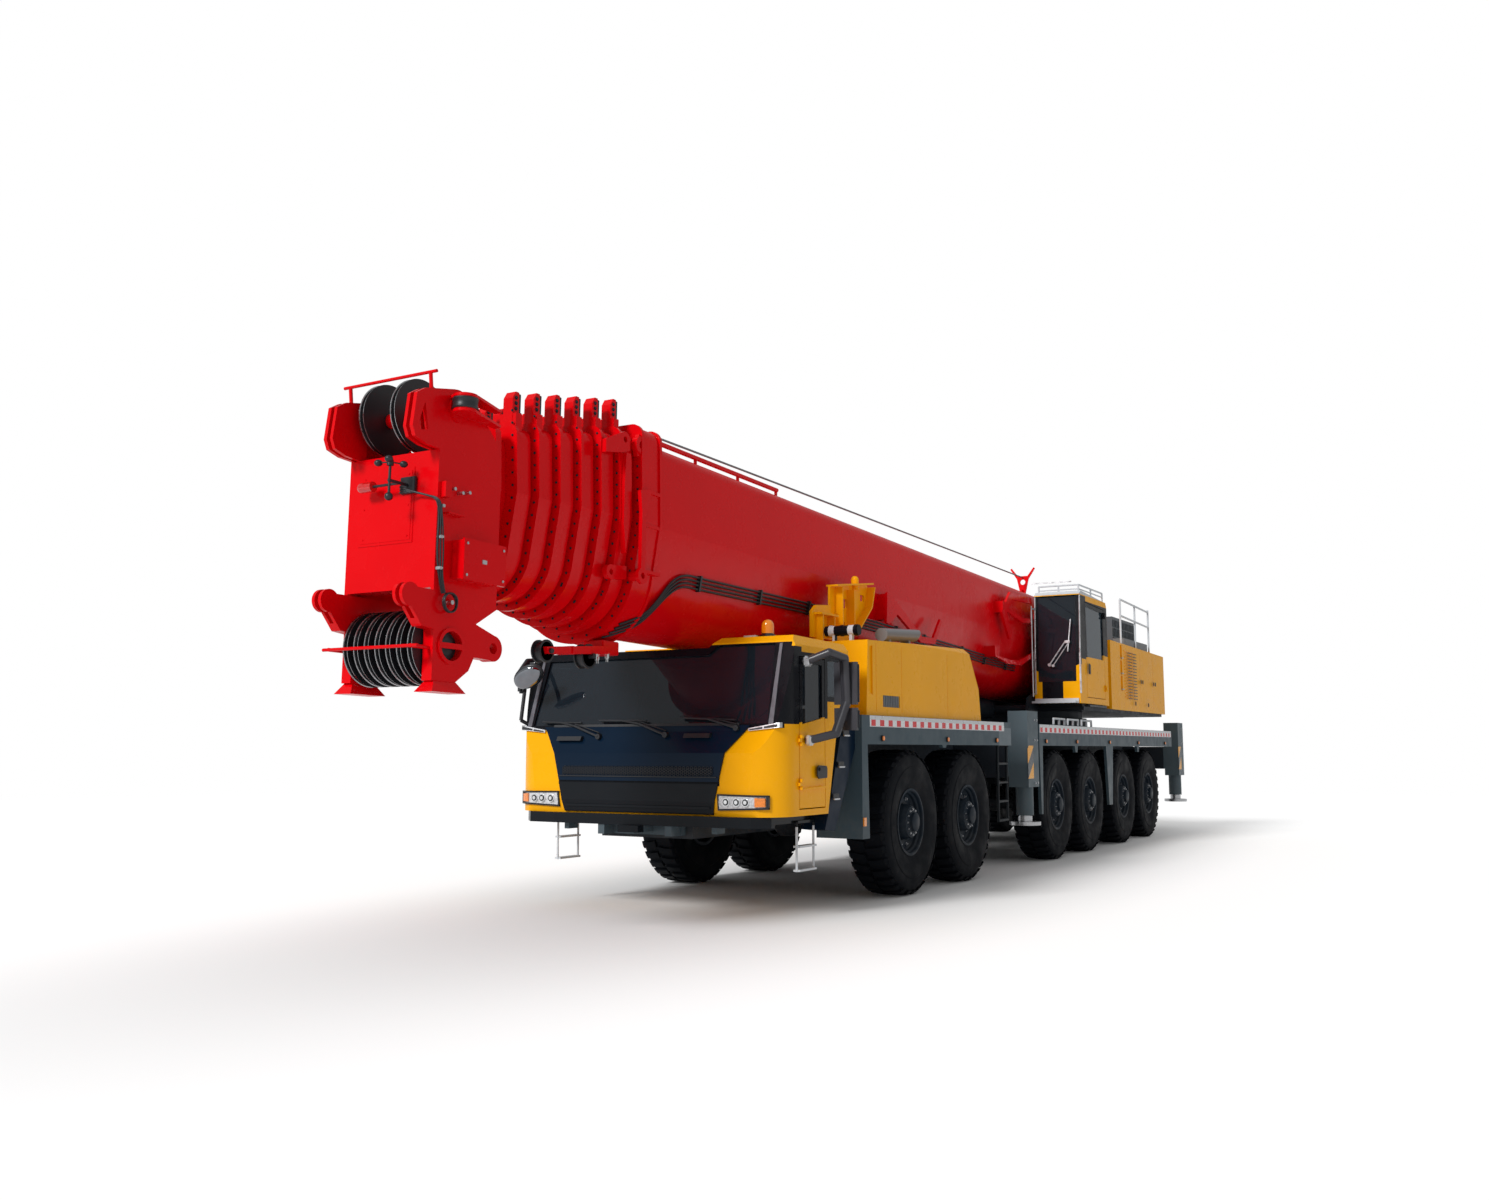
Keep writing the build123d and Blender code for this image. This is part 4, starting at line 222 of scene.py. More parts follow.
def glassFinish(name, tint, clear, zones=()):
    finish, tree, shader, point = newFinish(name)
    haze = noiseAt(tree, point, 3.0, 3)
    base = ramp(tree, haze, [(0.3, tint), (0.7, dimmed(tint, 1.2))])
    setShader(tree, shader, {
        "Base Color": withZones(tree, point, base, zones),
        "Roughness": span(tree, haze, 0.3, 0.7, 0.02, 0.05), "Transmission Weight": clear, "IOR": 1.48,
    })
    return finish


def lampFinish(name, colour, glow=0.0, zones=()):
    finish, tree, shader, point = newFinish(name)
    cells = addNode(tree, "ShaderNodeTexVoronoi", {"Scale": 60.0, "Vector": point}).outputs["Distance"]
    base = ramp(tree, cells, [(0.0, colour), (0.8, dimmed(colour, 0.6))])
    setShader(tree, shader, {
        "Base Color": withZones(tree, point, base, zones), "Roughness": 0.12, "Coat Weight": 1.0,
        "Emission Color": (*colour, 1), "Emission Strength": glow,
    })
    bumpOn(tree, shader, cells, 0.4, 0.003)
    return finish


def bandFinish(name, pitch, first, second, slant=0.0):
    finish, tree, shader, point = newFinish(name)
    axes = axesOf(tree, point)
    run = maths(tree, "ADD", axes["X"], maths(tree, "MULTIPLY", axes["Z"], slant))
    step = maths(tree, "FRACT", maths(tree, "ADD", maths(tree, "DIVIDE", run, pitch), 100.0))
    setShader(tree, shader, {
        "Base Color": ramp(tree, step, [(0.0, first), (0.5, second)], "CONSTANT"),
        "Roughness": span(tree, noiseAt(tree, point, 90.0, 2), 0.3, 0.7, 0.22, 0.4),
    })
    bumpOn(tree, shader, noiseAt(tree, point, 400.0, 1), 0.1, 0.0005)
    return finish


# Zones that a paint covers with another tone, in metres, for both sides
paintZones = {
    "cab": [
        (block(x=(6.05, None), y=(None, 0.88), z=(1.165, 1.30)), "black"),
        (block(x=(5.93, None), y=(None, 1.42), z=(1.665, 2.425)), "black"),
        (block(x=(5.90, 6.40), y=(1.38, None), z=(1.700, 2.385)), "black"),
        (block(x=(5.40, 5.96), y=(1.40, None), z=(1.760, 2.340)), "black"),
        (block(x=(5.08, 5.44), y=(1.40, None), z=(1.915, 2.335)), "black"),
    ],
    "door": [([((0.12, 0.0, 1.0), 2.428)], "black")],
    "panel": [
        (block(z=(None, 1.193)), "grille"),
        (block(x=(6.10, 6.39), y=(None, 0.85), z=(0.72, 0.812)), "towGrey"),
        (block(x=(5.30, 5.90), y=(1.0, None), z=(None, 0.80)), "silver"),
    ],
    "lens": [
        (block(x=(None, 5.2)), "orange"),
        (block(x=(5.60, 5.82), z=(2.535, None)), "orange"),
        (block(x=(5.60, 5.82), y=(None, 1.09), z=(2.40, 2.535)), "black"),
    ],
    "machine": [
        (block(z=(3.215, None)), "silver"),
        (block(x=(-7.26, -5.74), y=(None, 1.195), z=(3.165, None)), "roofGrey"),
        (block(x=(-7.31, -5.66), y=(1.20, 1.40), z=(3.14, 3.33)), "coolerGrey"),
        (block(x=(-8.0, -5.0), y=(1.40, None), z=(3.20, None)), "silver"),
        (block(x=(-8.3, None), y=(None, 0.725)), "shadowGrey"),
    ],
    "operator": [
        (block(x=(-3.02, None), y=(0.86, 1.175), z=(None, 2.70)), "black"),
        ([((1.0, 0.0, 0.0), -3.02), ((0.0, -0.45, 1.0), 2.09), ((0.0, 0.39, 1.0), 2.95),
          ((0.0, 0.0, -1.0), -3.77)], "black"),
        (block(x=(-3.30, -3.0), y=(1.40, None), z=(2.82, 3.77)), "black"),
        (block(x=(-4.52, -3.02), y=(1.40, None), z=(2.93, 3.70)), "black"),
        (block(x=(-4.52, None), z=(3.785, None)), "silver"),
        (block(x=(-2.895, None), z=(None, 2.24)), "silver"),
        (block(z=(None, 2.158)), "shadowGrey"),
    ],
    "operatorDoor": [([((0.09, 0.0, 1.0), 2.555)], "black")],
    "deck": [
        (block(x=(4.785, None)), "navy"),
        (block(x=(0.40, 0.90), y=(1.20, None), z=(None, 1.74)), "ladderGrey"),
        # Painted shade: near black inside the wheel arches and under the deck, where shade falls
        (block(x=(None, 4.60), y=(None, 1.46), z=(None, 1.70)), "archPaintedShade"),
        (block(x=(-3.7, -1.6), z=(1.825, None)), "silver"),
    ],
    "housing": [
        (block(x=(3.752, 4.170), y=(1.40, None), z=(1.902, 2.018)), "plateGrey"),
        (block(x=(None, 2.30), y=(None, 0.80)), "meshDark"),
    ],
    "pipes": [
        (block(x=(None, 3.46)), "pipeGrey"),
        (block(x=(4.30, None), y=(1.01, 1.07)), "silver"),
        (block(x=(4.30, None), y=(1.22, 1.28)), "silver"),
    ],
    # Painted reflection: the side windows get a paler tint, standing for the pale surroundings mirrored in
    # them
    "glass": [(block(x=(None, 5.42), y=(1.38, None)), "sideGlassPaintedReflection")],
}
# Each paint's name, colour, roughness, coat and dust near the ground
paintwork = {
    "cab": ("cabYellow", "yellow", 0.26, 0.5, 0.1), "door": ("doorYellow", "yellow", 0.26, 0.5, 0.1),
    "panel": ("frontPanel", "navy", 0.16, 0.6, 0.05), "housing": ("housingYellow", "yellow", 0.3, 0.5, 0.0),
    "machine": ("machineYellow", "yellow", 0.3, 0.5, 0.0),
    "operator": ("operatorYellow", "yellow", 0.3, 0.5, 0.0),
    "operatorDoor": ("operatorDoorYellow", "yellow", 0.3, 0.5, 0.0),
    "deck": ("deckPaint", "grey", 0.36, 0.4, 0.3), "pipes": ("pipePaint", "black", 0.2, 0.6, 0.0),
    "red": ("boomRed", "red", 0.24, 0.6, 0.0), "paleGrey": ("boxGrey", "paleGrey", 0.38, 0.35, 0.3),
    "dark": ("frameDark", "dark", 0.5, 0.2, 0.3), "hub": ("hubBlue", "hub", 0.45, 0.2, 0.2),
}
finishes = {key: paintFinish(*values, paintZones.get(key, ())) for key, values in paintwork.items()}
finishes.update({
    "rubber": rubberFinish("tyreRubber", (0.003, 0.004, 0.0065), (0.0065, 0.008, 0.011)),
    "black": plasticFinish("blackPlastic", (0.014, 0.016, 0.020), 0.42),
    "gloss": plasticFinish("glossBlack", (0.010, 0.012, 0.016), 0.14),
    "trim": plasticFinish("cabTrim", (0.05, 0.052, 0.058), 0.6),
    "arm": plasticFinish("mirrorArm", (0.040, 0.040, 0.048), 0.34),
    "steel": metalFinish("brushedSteel", (0.62, 0.63, 0.65), 0.32, (1, 6, 6)),
    "chrome": metalFinish("chromedRod", (0.86, 0.87, 0.88), 0.1),
    "silver": metalFinish("silverTube", (0.72, 0.74, 0.76), 0.34, metallic=0.8),
    "pillar": metalFinish("pillarGrey", (0.13, 0.13, 0.15), 0.42, metallic=0.3),
    "mirror": metalFinish("mirrorGlass", (0.30, 0.32, 0.35), 0.08),
    "rope": metalFinish("wireRope", (0.25, 0.25, 0.26), 0.45, (30, 30, 30)),
    "glass": glassFinish("tintedGlass", (0.020, 0.030, 0.042), 0.55, paintZones["glass"]),
    "lens": lampFinish("clearLens", (0.82, 0.84, 0.86), zones=paintZones["lens"]),
    "amber": lampFinish("amberLens", (1.0, 0.26, 0.005), 0.12),
    "ruby": lampFinish("redLens", (0.7, 0.01, 0.01), 0.1),
    "reflective": bandFinish("reflectiveBand", 0.203, (0.70, 0.012, 0.02), (0.80, 0.82, 0.84)),
    "hazard": bandFinish("hazardBand", 0.42, (0.95, 0.42, 0.01), (0.05, 0.06, 0.07), 1.1),
})
print("finishes made")

# How the names of the CAD nodes start, and their finish: the first that fits is taken
nodeFinish = (
    ("wheel_", "rubber"), ("knuckle_", "dark"), ("chassis_frame", "dark"), ("driveline", "dark"),
    ("carrier_deck", "deck"), ("cab_shell", "cab"), ("cab_glass", "glass"), ("cab_front_panel", "panel"),
    ("cab_lamps", "lens"), ("cab_interior", "trim"), ("cab_door_glass", "glass"), ("cab_door", "door"),
    ("cab_mirror", "arm"), ("engine_housing", "housing"), ("intake_and_exhaust", "pipes"),
    ("outrigger_beam", "paleGrey"), ("outrigger_jack", "steel"), ("turntable", "dark"),
    ("machinery_housing", "machine"), ("operator_cab_shell", "operator"), ("operator_cab_glass", "glass"),
    ("operator_interior", "trim"), ("operator_door_glass", "glass"), ("operator_door", "operatorDoor"),
    ("winch", "dark"), ("boom_", "red"), ("sheaves_", "black"), ("luffing_barrel", "dark"),
    ("luffing_rod", "chrome"),
)
for name, thing in nodes.items():
    key = next(finish for start, finish in nodeFinish if name.startswith(start))
    thing.data.materials.clear()
    thing.data.materials.append(finishes[key])
print("CAD nodes finished")


# Helpers for shapes
def linked(name, data):
    thing = bpy.data.objects.new(name, data)
    bpy.context.scene.collection.objects.link(thing)
    return thing


def plainMesh(work, name):
    mesh = bpy.data.meshes.new(name)
    work.to_mesh(mesh)
    work.free()
    return mesh


def tidyMesh(work, name):
    bmesh.ops.remove_doubles(work, verts=work.verts, dist=0.00005)
    bmesh.ops.recalc_face_normals(work, faces=work.faces)
    return plainMesh(work, name)


def asMesh(shape, name):
    return shape if isinstance(shape, bpy.types.Mesh) else tidyMesh(shape, name)


def addPiece(name, shape, body, finish, angle=35):
    mesh = asMesh(shape, name)
    thing = linked(name, mesh)
    mesh.materials.clear()
    mesh.materials.append(finishes[finish])
    mesh.shade_smooth()
    mesh.set_sharp_from_angle(angle=math.radians(angle))
    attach(thing, body)
    return thing


def closeLoops(work, loops, capped=False):
    count = len(loops[0])
    for near, far in zip(loops, loops[1:]):
        for j in range(count):
            k = (j + 1) % count
            work.faces.new((near[j], near[k], far[k], far[j]))
    if capped:
        work.faces.new(loops[0])
        work.faces.new(list(reversed(loops[-1])))


def lathe(work, outline, steps):
    loops = []
    for i in range(steps):
        turn = 2 * math.pi * i / steps
        loops.append([work.verts.new((r * math.cos(turn), y, r * math.sin(turn))) for r, y in outline])
    closeLoops(work, loops + loops[:1])


def addBlock(work, corner, other, bevel=0.0):
    made = bmesh.ops.create_cube(work, size=1.0)
    size = [abs(b - a) for a, b in zip(corner, other)]
    place = Matrix.Translation([(a + b) / 2 for a, b in zip(corner, other)])
    bmesh.ops.transform(work, matrix=place @ Matrix.Diagonal((*size, 1)), verts=made["verts"])
    if bevel > 0:
        edges = list({e for v in made["verts"] for e in v.link_edges})
        bmesh.ops.bevel(work, geom=edges, offset=bevel, segments=2, affect="EDGES", clamp_overlap=True)


def addBar(work, start, end, radius, sides=12):
    a, b = Vector(start), Vector(end)
    made = bmesh.ops.create_cone(work, cap_ends=True, segments=sides, radius1=radius, radius2=radius,
                                 depth=(b - a).length)
    turn = (b - a).to_track_quat("Z", "Y").to_matrix().to_4x4()
    bmesh.ops.transform(work, matrix=Matrix.Translation((a + b) / 2) @ turn, verts=made["verts"])


def addBars(work, places, radius, sides=12):
    for a, b in zip(places, places[1:]):
        addBar(work, a, b, radius, sides)


def addBall(work, place, radius, steps=14, rings=8, shape=Matrix.Identity(4)):
    made = bmesh.ops.create_uvsphere(work, u_segments=steps, v_segments=rings, radius=radius)
    bmesh.ops.transform(work, matrix=Matrix.Translation(place) @ shape, verts=made["verts"])


def addPrism(work, outline, axis, near, far):
    axes = {"X": lambda u, v, w: (w, u, v), "Y": lambda u, v, w: (u, w, v)}
    loops = [[work.verts.new(axes[axis](u, v, w)) for u, v in outline] for w in (near, far)]
    closeLoops(work, loops, capped=True)


def evaluated(thing):
    return bpy.data.meshes.new_from_object(thing.evaluated_get(bpy.context.evaluated_depsgraph_get()))


def hoseMesh(name, points, radius):
    curve = bpy.data.curves.new(name, "CURVE")
    curve.dimensions = "3D"
    curve.bevel_depth = radius
    curve.bevel_resolution = 3
    curve.use_fill_caps = True
    line = curve.splines.new("NURBS")
    line.points.add(len(points) - 1)
    for item, place in zip(line.points, points):
        item.co = (*place, 1)
    line.order_u = 3
    line.use_endpoint_u = True
    line.resolution_u = 6
    holder = linked(name, curve)
    mesh = evaluated(holder)
    bpy.data.objects.remove(holder)
    return mesh


def mergeMeshes(name, meshes):
    work = bmesh.new()
    for mesh in meshes:
        work.from_mesh(mesh)
    return plainMesh(work, name)


# Geometry Nodes for what repeats
def startTree(name, inputs):
    tree = bpy.data.node_groups.new(name, "GeometryNodeTree")
    for label, kind in (("Geometry", "Geometry"), *inputs, ("Finish", "Material")):
        tree.interface.new_socket(label, in_out="INPUT", socket_type=f"NodeSocket{kind}")
    tree.interface.new_socket("Geometry", in_out="OUTPUT", socket_type="NodeSocketGeometry")
    return tree, addNode(tree, "NodeGroupInput").outputs


def endTree(tree, start, values):
    placed = addNode(tree, "GeometryNodeInstanceOnPoints", values)
    real = addNode(tree, "GeometryNodeRealizeInstances", {0: placed.outputs[0]})
    painted = addNode(tree, "GeometryNodeSetMaterial", {0: real.outputs[0], "Material": start["Finish"]})
    addNode(tree, "NodeGroupOutput", {0: painted.outputs[0]})
    return tree


def makeRepeatTree():
    tree, start = startTree("repeatPieces", (("Count", "Int"), ("Step", "Vector"), ("Turn", "Vector")))
    line = addNode(tree, "GeometryNodeMeshLine", {"Count": start["Count"], "Offset": start["Step"]})
    index = addNode(tree, "GeometryNodeInputIndex").outputs[0]
    turn = addNode(tree, "ShaderNodeVectorMath", {0: start["Turn"], "Scale": index}, operation="SCALE")
    spin = addNode(tree, "FunctionNodeEulerToRotation", {0: turn.outputs[0]})
    return endTree(tree, start, {"Points": line.outputs[0], "Instance": start["Geometry"],
                                 "Rotation": spin.outputs[0]})


def makePointTree():
    tree, start = startTree("piecesOnPoints", (("Piece", "Object"),))
    piece = addNode(tree, "GeometryNodeObjectInfo", {0: start["Piece"]}).outputs["Geometry"]
    return endTree(tree, start, {"Points": start["Geometry"], "Instance": piece})


repeatTree = makeRepeatTree()
pointTree = makePointTree()


def runTree(mesh, tree, values):
    holder = linked("holder", mesh)
    change = holder.modifiers.new("repeat", "NODES")
    change.node_group = tree
    for item in tree.interface.items_tree:
        if item.in_out == "INPUT" and item.name in values:
            change[item.identifier] = values[item.name]
    result = evaluated(holder)
    holder.modifiers.remove(change)
    bpy.data.objects.remove(holder)
    return result


def repeated(mesh, count, turn, finish):
    values = {"Count": count, "Step": (0, 0, 0), "Turn": turn, "Finish": finishes[finish]}
    return runTree(mesh, repeatTree, values)


def onPoints(mesh, points, finish):
    piece = linked("pointPiece", mesh)
    places = bpy.data.meshes.new("pointPlaces")
    places.from_pydata(points, [], [])
    result = runTree(places, pointTree, {"Piece": piece, "Finish": finishes[finish]})
    bpy.data.objects.remove(piece)
    return result


wheelSizes = {
    "radius": 0.740, "width": 0.445, "bead": 0.330, "centreY": 1.252,
    "axles": [3.5, 1.85, -1.55, -3.18, -5.13, -6.78], "axleTurn": 0.37, "rightTurn": 0.9,
    "lugs": 34, "lugDepth": 0.026, "tyreSteps": 72, "rimSteps": 60, "disc": 0.070,
    "studs": 10, "studCircle": 0.242, "studY": 0.102, "caps": 12, "capCircle": 0.128, "capY": 0.212,
}


def tyreMesh():
    s = wheelSizes
    half, top, bead = s["width"] / 2, s["radius"] - s["lugDepth"], s["bead"]
    side = [(bead, half - 0.052), (bead + 0.018, half - 0.034), (bead + 0.045, half - 0.030),
            (bead + 0.075, half - 0.016), (bead + 0.15, half - 0.002), (bead + 0.22, half),
            (bead + 0.232, half), (bead + 0.24, half - 0.006), (top - 0.085, half - 0.006),
            (top - 0.045, half - 0.016), (top - 0.012, half - 0.040), (top, half - 0.075)]
    work = bmesh.new()
    lathe(work, side + [(top, 0.09), (top, 0.0), (top, -0.09)] + [(r, -y) for r, y in reversed(side)],
          s["tyreSteps"])
    return tidyMesh(work, "tyreBody")


def lugMesh():
    s = wheelSizes
    half, top, pitch = s["width"] / 2, s["radius"], 2 * math.pi / s["lugs"]
    low = top - s["lugDepth"] - 0.012
    work = bmesh.new()
    for side, lead in ((1, 0.0), (-1, 0.5)):
        rows = []
        for y, cut, depth in ((0.012, 0.30, 0.0), (0.10, 0.27, 0.0), (half - 0.045, 0.31, 0.006),
                              (half - 0.012, 0.27, 0.045)):
            mid = lead * pitch + 0.20 * pitch * (y / half)
            wide, slim = cut * pitch, cut * pitch * 0.88
            corners = ((mid - wide, low), (mid - slim, top - depth), (mid + slim, top - depth),
                       (mid + wide, low))
            rows.append([work.verts.new((r * math.cos(turn), side * y, r * math.sin(turn)))
                         for turn, r in corners])
        closeLoops(work, rows, capped=True)
    bmesh.ops.recalc_face_normals(work, faces=work.faces)
    return plainMesh(work, "treadLug")


def rimMesh():
    s = wheelSizes
    outer, half, disc = s["bead"] - 0.0006, s["width"] / 2, s["disc"]
    outline = [
        (outer, -half + 0.032), (outer, half - 0.055), (outer + 0.012, half - 0.036),
        (outer + 0.014, half - 0.028), (outer - 0.006, half - 0.026), (outer - 0.016, half - 0.034),
        (outer - 0.020, half - 0.060), (outer - 0.036, half - 0.075), (outer - 0.038, disc + 0.050),
        (outer - 0.062, disc + 0.026), (0.205, disc + 0.034), (0.184, disc + 0.026), (0.180, disc + 0.080),
        (0.170, disc + 0.100), (0.158, disc + 0.132), (0.110, disc + 0.148), (0.098, disc + 0.152),
        (0.096, disc + 0.180), (0.080, disc + 0.188), (0.001, disc + 0.188), (0.001, disc - 0.002),
        (outer - 0.060, disc - 0.002), (outer - 0.034, disc - 0.02), (outer - 0.034, -half + 0.032),
    ]
    work = bmesh.new()
    lathe(work, outline, s["rimSteps"])
    return tidyMesh(work, "rimBody")


def studMesh(radius, height, x, y):
    work = bmesh.new()
    addBar(work, (x, y, 0), (x, y + height, 0), radius, 6)
    addBar(work, (x, y - 0.002, 0), (x, y + height * 0.35, 0), radius * 1.45, 12)
    return plainMesh(work, "stud")


def makeWheels():
    s = wheelSizes
    lugs = repeated(lugMesh(), s["lugs"], (0, 2 * math.pi / s["lugs"], 0), "rubber")
    tyre = mergeMeshes("tyre", [tyreMesh(), lugs])
    rim = rimMesh()
    studs = repeated(studMesh(0.011, 0.020, s["studCircle"], s["studY"]), s["studs"],
                     (0, 2 * math.pi / s["studs"], 0), "steel")
    caps = repeated(studMesh(0.008, 0.012, s["capCircle"], s["capY"]), s["caps"],
                    (0, 2 * math.pi / s["caps"], 0), "steel")
    studs = mergeMeshes("studs", [studs, caps])
    for i, x in enumerate(s["axles"]):
        for side, word in sides:
            body = f"wheel_{i + 1}_{word}"
            turn = Matrix.Rotation(s["axleTurn"] * i + (0 if side == 1 else s["rightTurn"]), 4, "Y")
            flip = Matrix.Rotation(math.pi, 4, "Z") if side == -1 else Matrix.Identity(4)
            place = Matrix.Translation((x, side * s["centreY"], s["radius"])) @ flip @ turn
            for kind, source, finish in (("tyre", tyre, "rubber"), ("rim", rim, "hub"),
                                         ("studs", studs, "steel")):
                mesh = source.copy()
                mesh.transform(place)
                addPiece(f"{kind}_{i + 1}_{word}", mesh, body, finish)
            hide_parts(body)


makeWheels()
print("wheels made")

boomSizes = {
    "slope": 1.25, "pivot": (-6.2, 0.0, 2.72), "half": 0.600, "top": 1.100, "bottom": -0.549,
    "bend": 0.373, "bowl": 0.530, "lean": 0.026, "front": 13.5, "pitch": 0.213, "step": 0.040,
    "collarRise": 0.072, "towerY": 0.470, "towerIn": 0.7, "sections": 6,
}
boomMatrix = (Matrix.Translation(boomSizes["pivot"])
              @ Matrix.Rotation(math.radians(-boomSizes["slope"]), 4, "Y"))


# The side of the boom's section at height v, on the section grown by grow
def boomSide(v, grow=0.0):
    s = boomSizes
    half, bend, bowl = s["half"] + grow, s["bend"], s["bowl"] + grow
    centre = s["bottom"] - grow + bowl
    if v >= bend:
        return half - (v - bend) / (s["top"] + grow - bend) * s["lean"]
    angle = math.atan2(bend - centre, half) - math.acos(bowl / math.hypot(half, bend - centre))
    ty, tv = bowl * math.cos(angle), centre + bowl * math.sin(angle)
    if v >= tv:
        return ty + (v - tv) * (half - ty) / (bend - tv)
    return math.sqrt(max(bowl * bowl - (v - centre) ** 2, 0.0))


def boomPiece(name, shape, body, finish, angle=35):
    mesh = asMesh(shape, name)
    mesh.transform(boomMatrix)
    addPiece(name, mesh, body, finish, angle)


def boltMesh(radius, height, way):
    work = bmesh.new()
    end = Vector(way) * height
    addBar(work, (0, 0, 0), end, radius, 6)
    addBar(work, (0, 0, 0), end * 0.3, radius * 1.5, 10)
    return plainMesh(work, "bolt")


hoseSizes = {
    "route": [(3.60, -0.055), (4.525, -0.047), (5.8, -0.015), (7.127, 0.014), (8.7, 0.040), (10.264, 0.055),
              (11.286, 0.041), (12.39, 0.028), (12.66, 0.030), (12.84, -0.06), (13.00, -0.25), (13.12, -0.36),
              (13.25, -0.43), (13.40, -0.49)],
    "clamps": [(4.0, -0.052), (4.9, -0.040), (5.8, -0.015), (7.127, 0.014), (8.0, 0.030), (9.1, 0.046),
               (10.264, 0.055), (11.286, 0.041), (12.39, 0.028)],
    "count": 4, "gap": 0.034, "radius": 0.0105, "off": 0.022, "lift": 0.080, "liftFrom": 12.95,
    "liftRun": 0.25, "below": 0.122, "above": 0.022, "out": 0.040, "sink": 0.012, "wide": 0.014,
}


def makeHoses():
    s = hoseSizes
    meshes = []
    for k in range(s["count"]):
        points = []
        for u, v in s["route"]:
            low = v - s["gap"] * k
            lift = s["lift"] * min(max((u - s["liftFrom"]) / s["liftRun"], 0.0), 1.0)
            points.append((u, boomSide(low, lift) + s["off"], low))
        meshes.append(hoseMesh("hose", points, s["radius"]))
    boomPiece("boomHoses", mergeMeshes("boomHoses", meshes), "boom_base", "black", 60)
    clamps = bmesh.new()
    for u, v in s["clamps"]:
        low, high = v - s["below"], v + s["above"]
        near, far = boomSide(low), boomSide(high)
        outline = [(near - s["sink"], low), (near + s["out"], low), (far + s["out"], high),
                   (far - s["sink"], high)]
        addPrism(clamps, outline, "X", u - s["wide"], u + s["wide"])
    boomPiece("hoseClamps", clamps, "boom_base", "black")


collarSizes = {
    "rise": 0.034, "baseRise": 0.052, "inset": 0.004, "sideBolts": 15, "sideTop": 1.02, "sidePitch": 0.098,
    "bowlBolts": 9, "bowlStart": -150, "bowlPitch": 15, "bolt": (0.0068, 0.010), "towerBolt": (0.011, 0.012),
    "boltBack": 0.048, "boltOut": 0.046, "boltRows": (0.115, 0.158, 0.201),
    "padBack": 0.116, "padFront": 0.083, "padHalf": 0.040, "padFoot": 0.012, "padTop": 0.244,
    "padBevel": 0.004,
}


def collarPoints(grow, front):
    c = collarSizes
    spots = []
    for i in range(c["sideBolts"]):
        v = c["sideTop"] - i * c["sidePitch"]
        spots += [(front, side * (boomSide(v, grow) - c["inset"]), v) for side in (-1, 1)]
    centre = boomSizes["bottom"] + boomSizes["bowl"]
    reach = boomSizes["bowl"] + grow - c["inset"]
    for i in range(c["bowlBolts"]):
        turn = math.radians(c["bowlStart"] + i * c["bowlPitch"])
        spots.append((front, reach * math.cos(turn), centre + reach * math.sin(turn)))
    return spots


def makeCollars():
    s, c = boomSizes, collarSizes
    bolt = boltMesh(*c["bolt"], (1, 0, 0))
    towerBolt = boltMesh(*c["towerBolt"], (0, 1, 0))
    for k in range(s["sections"] + 1):
        front = s["front"] + s["pitch"] * k
        grow = -s["step"] * k
        body = f"boom_section_{k}" if k else "boom_base"
        rise = c["rise"] if k else c["baseRise"]
        boomPiece(f"collarBolts_{k}", onPoints(bolt, collarPoints(grow + rise, front), "dark"), body, "dark")
        if k == 0:
            continue
        top = s["top"] + grow + s["collarRise"]
        pads, spots = bmesh.new(), []
        for side in (-1, 1):
            mid = side * (s["towerY"] + s["towerIn"] * grow)
            addBlock(pads, (front - c["padBack"], mid - c["padHalf"], top + c["padFoot"]),
                     (front - c["padFront"], mid + c["padHalf"], top + c["padTop"]), c["padBevel"])
            spots += [(front - c["boltBack"], mid + c["boltOut"], top + v) for v in c["boltRows"]]
        boomPiece(f"towerPads_{k}", pads, body, "black")
        boomPiece(f"towerBolts_{k}", onPoints(towerBolt, spots, "dark"), body, "dark")
    print("boom collars made")


wireSizes = {
    "route": [(2.712, 0.40, 1.372), (2.90, 0.402, 1.368), (8.0, 0.43, 1.292), (13.22, 0.46, 1.215),
              (13.33, 0.46, 1.206)],
    "radius": 0.010, "guide": ((13.28, 0.43, 1.185), (13.38, 0.49, 1.235)), "bevel": 0.006,
}


def makeHoistWire():
    s = wireSizes
    boomPiece("hoistWire", hoseMesh("hoistWire", s["route"], s["radius"]), "boom_base", "rope", 60)
    guide = bmesh.new()
    addBlock(guide, *s["guide"], s["bevel"])
    boomPiece("wireGuide", guide, "boom_base", "black")


armSizes = {
    "foot": ((13.24, 0.10, -0.735), (13.47, 0.30, -0.62), 0.008),
    "cross": ((13.84, 0.14, -0.775), (13.90, 0.32, -0.71), 0.006),
    "plate": [(13.40, -0.735), (14.20, -0.800), (14.22, -0.745), (13.40, -0.665)],
    "plates": ((0.15, 0.19), (0.27, 0.31)), "rollers": ((14.17, -0.775, 0.075), (13.62, -0.770, 0.085)),
    "barrel": (0.185, 0.275), "pin": (0.13, 0.33, 0.022), "flanges": (0.185, 0.262), "flange": (0.013, 0.018),
    "fittings": ((13.30, 0.12), (13.38, 0.28), (13.46, 0.12), (13.55, 0.29)),
    "nuts": ((-0.77, -0.70, 0.020, 12), (-0.80, -0.765, 0.011, 8)),
}


def makeUnderArm():
    s = armSizes
    arm, rolls, knobs = bmesh.new(), bmesh.new(), bmesh.new()
    addBlock(arm, *s["foot"])
    for near, far in s["plates"]:
        addPrism(arm, s["plate"], "Y", near, far)
    addBlock(arm, *s["cross"])
    boomPiece("hoseArm", arm, "boom_base", "red")
    thick, over = s["flange"]
    for u, v, r in s["rollers"]:
        rounds = [(*s["barrel"], r, 24), (*s["pin"], 12)]
        rounds += [(y, y + thick, r + over, 24) for y in s["flanges"]]
        for near, far, radius, steps in rounds:
            addBar(rolls, (u, near, v), (u, far, v), radius, steps)
    boomPiece("hoseRollers", rolls, "boom_base", "black")
    for u, y in s["fittings"]:
        for low, high, radius, steps in s["nuts"]:
            addBar(knobs, (u, y, low), (u, y, high), radius, steps)
    boomPiece("hoseFittings", knobs, "boom_base", "chrome")


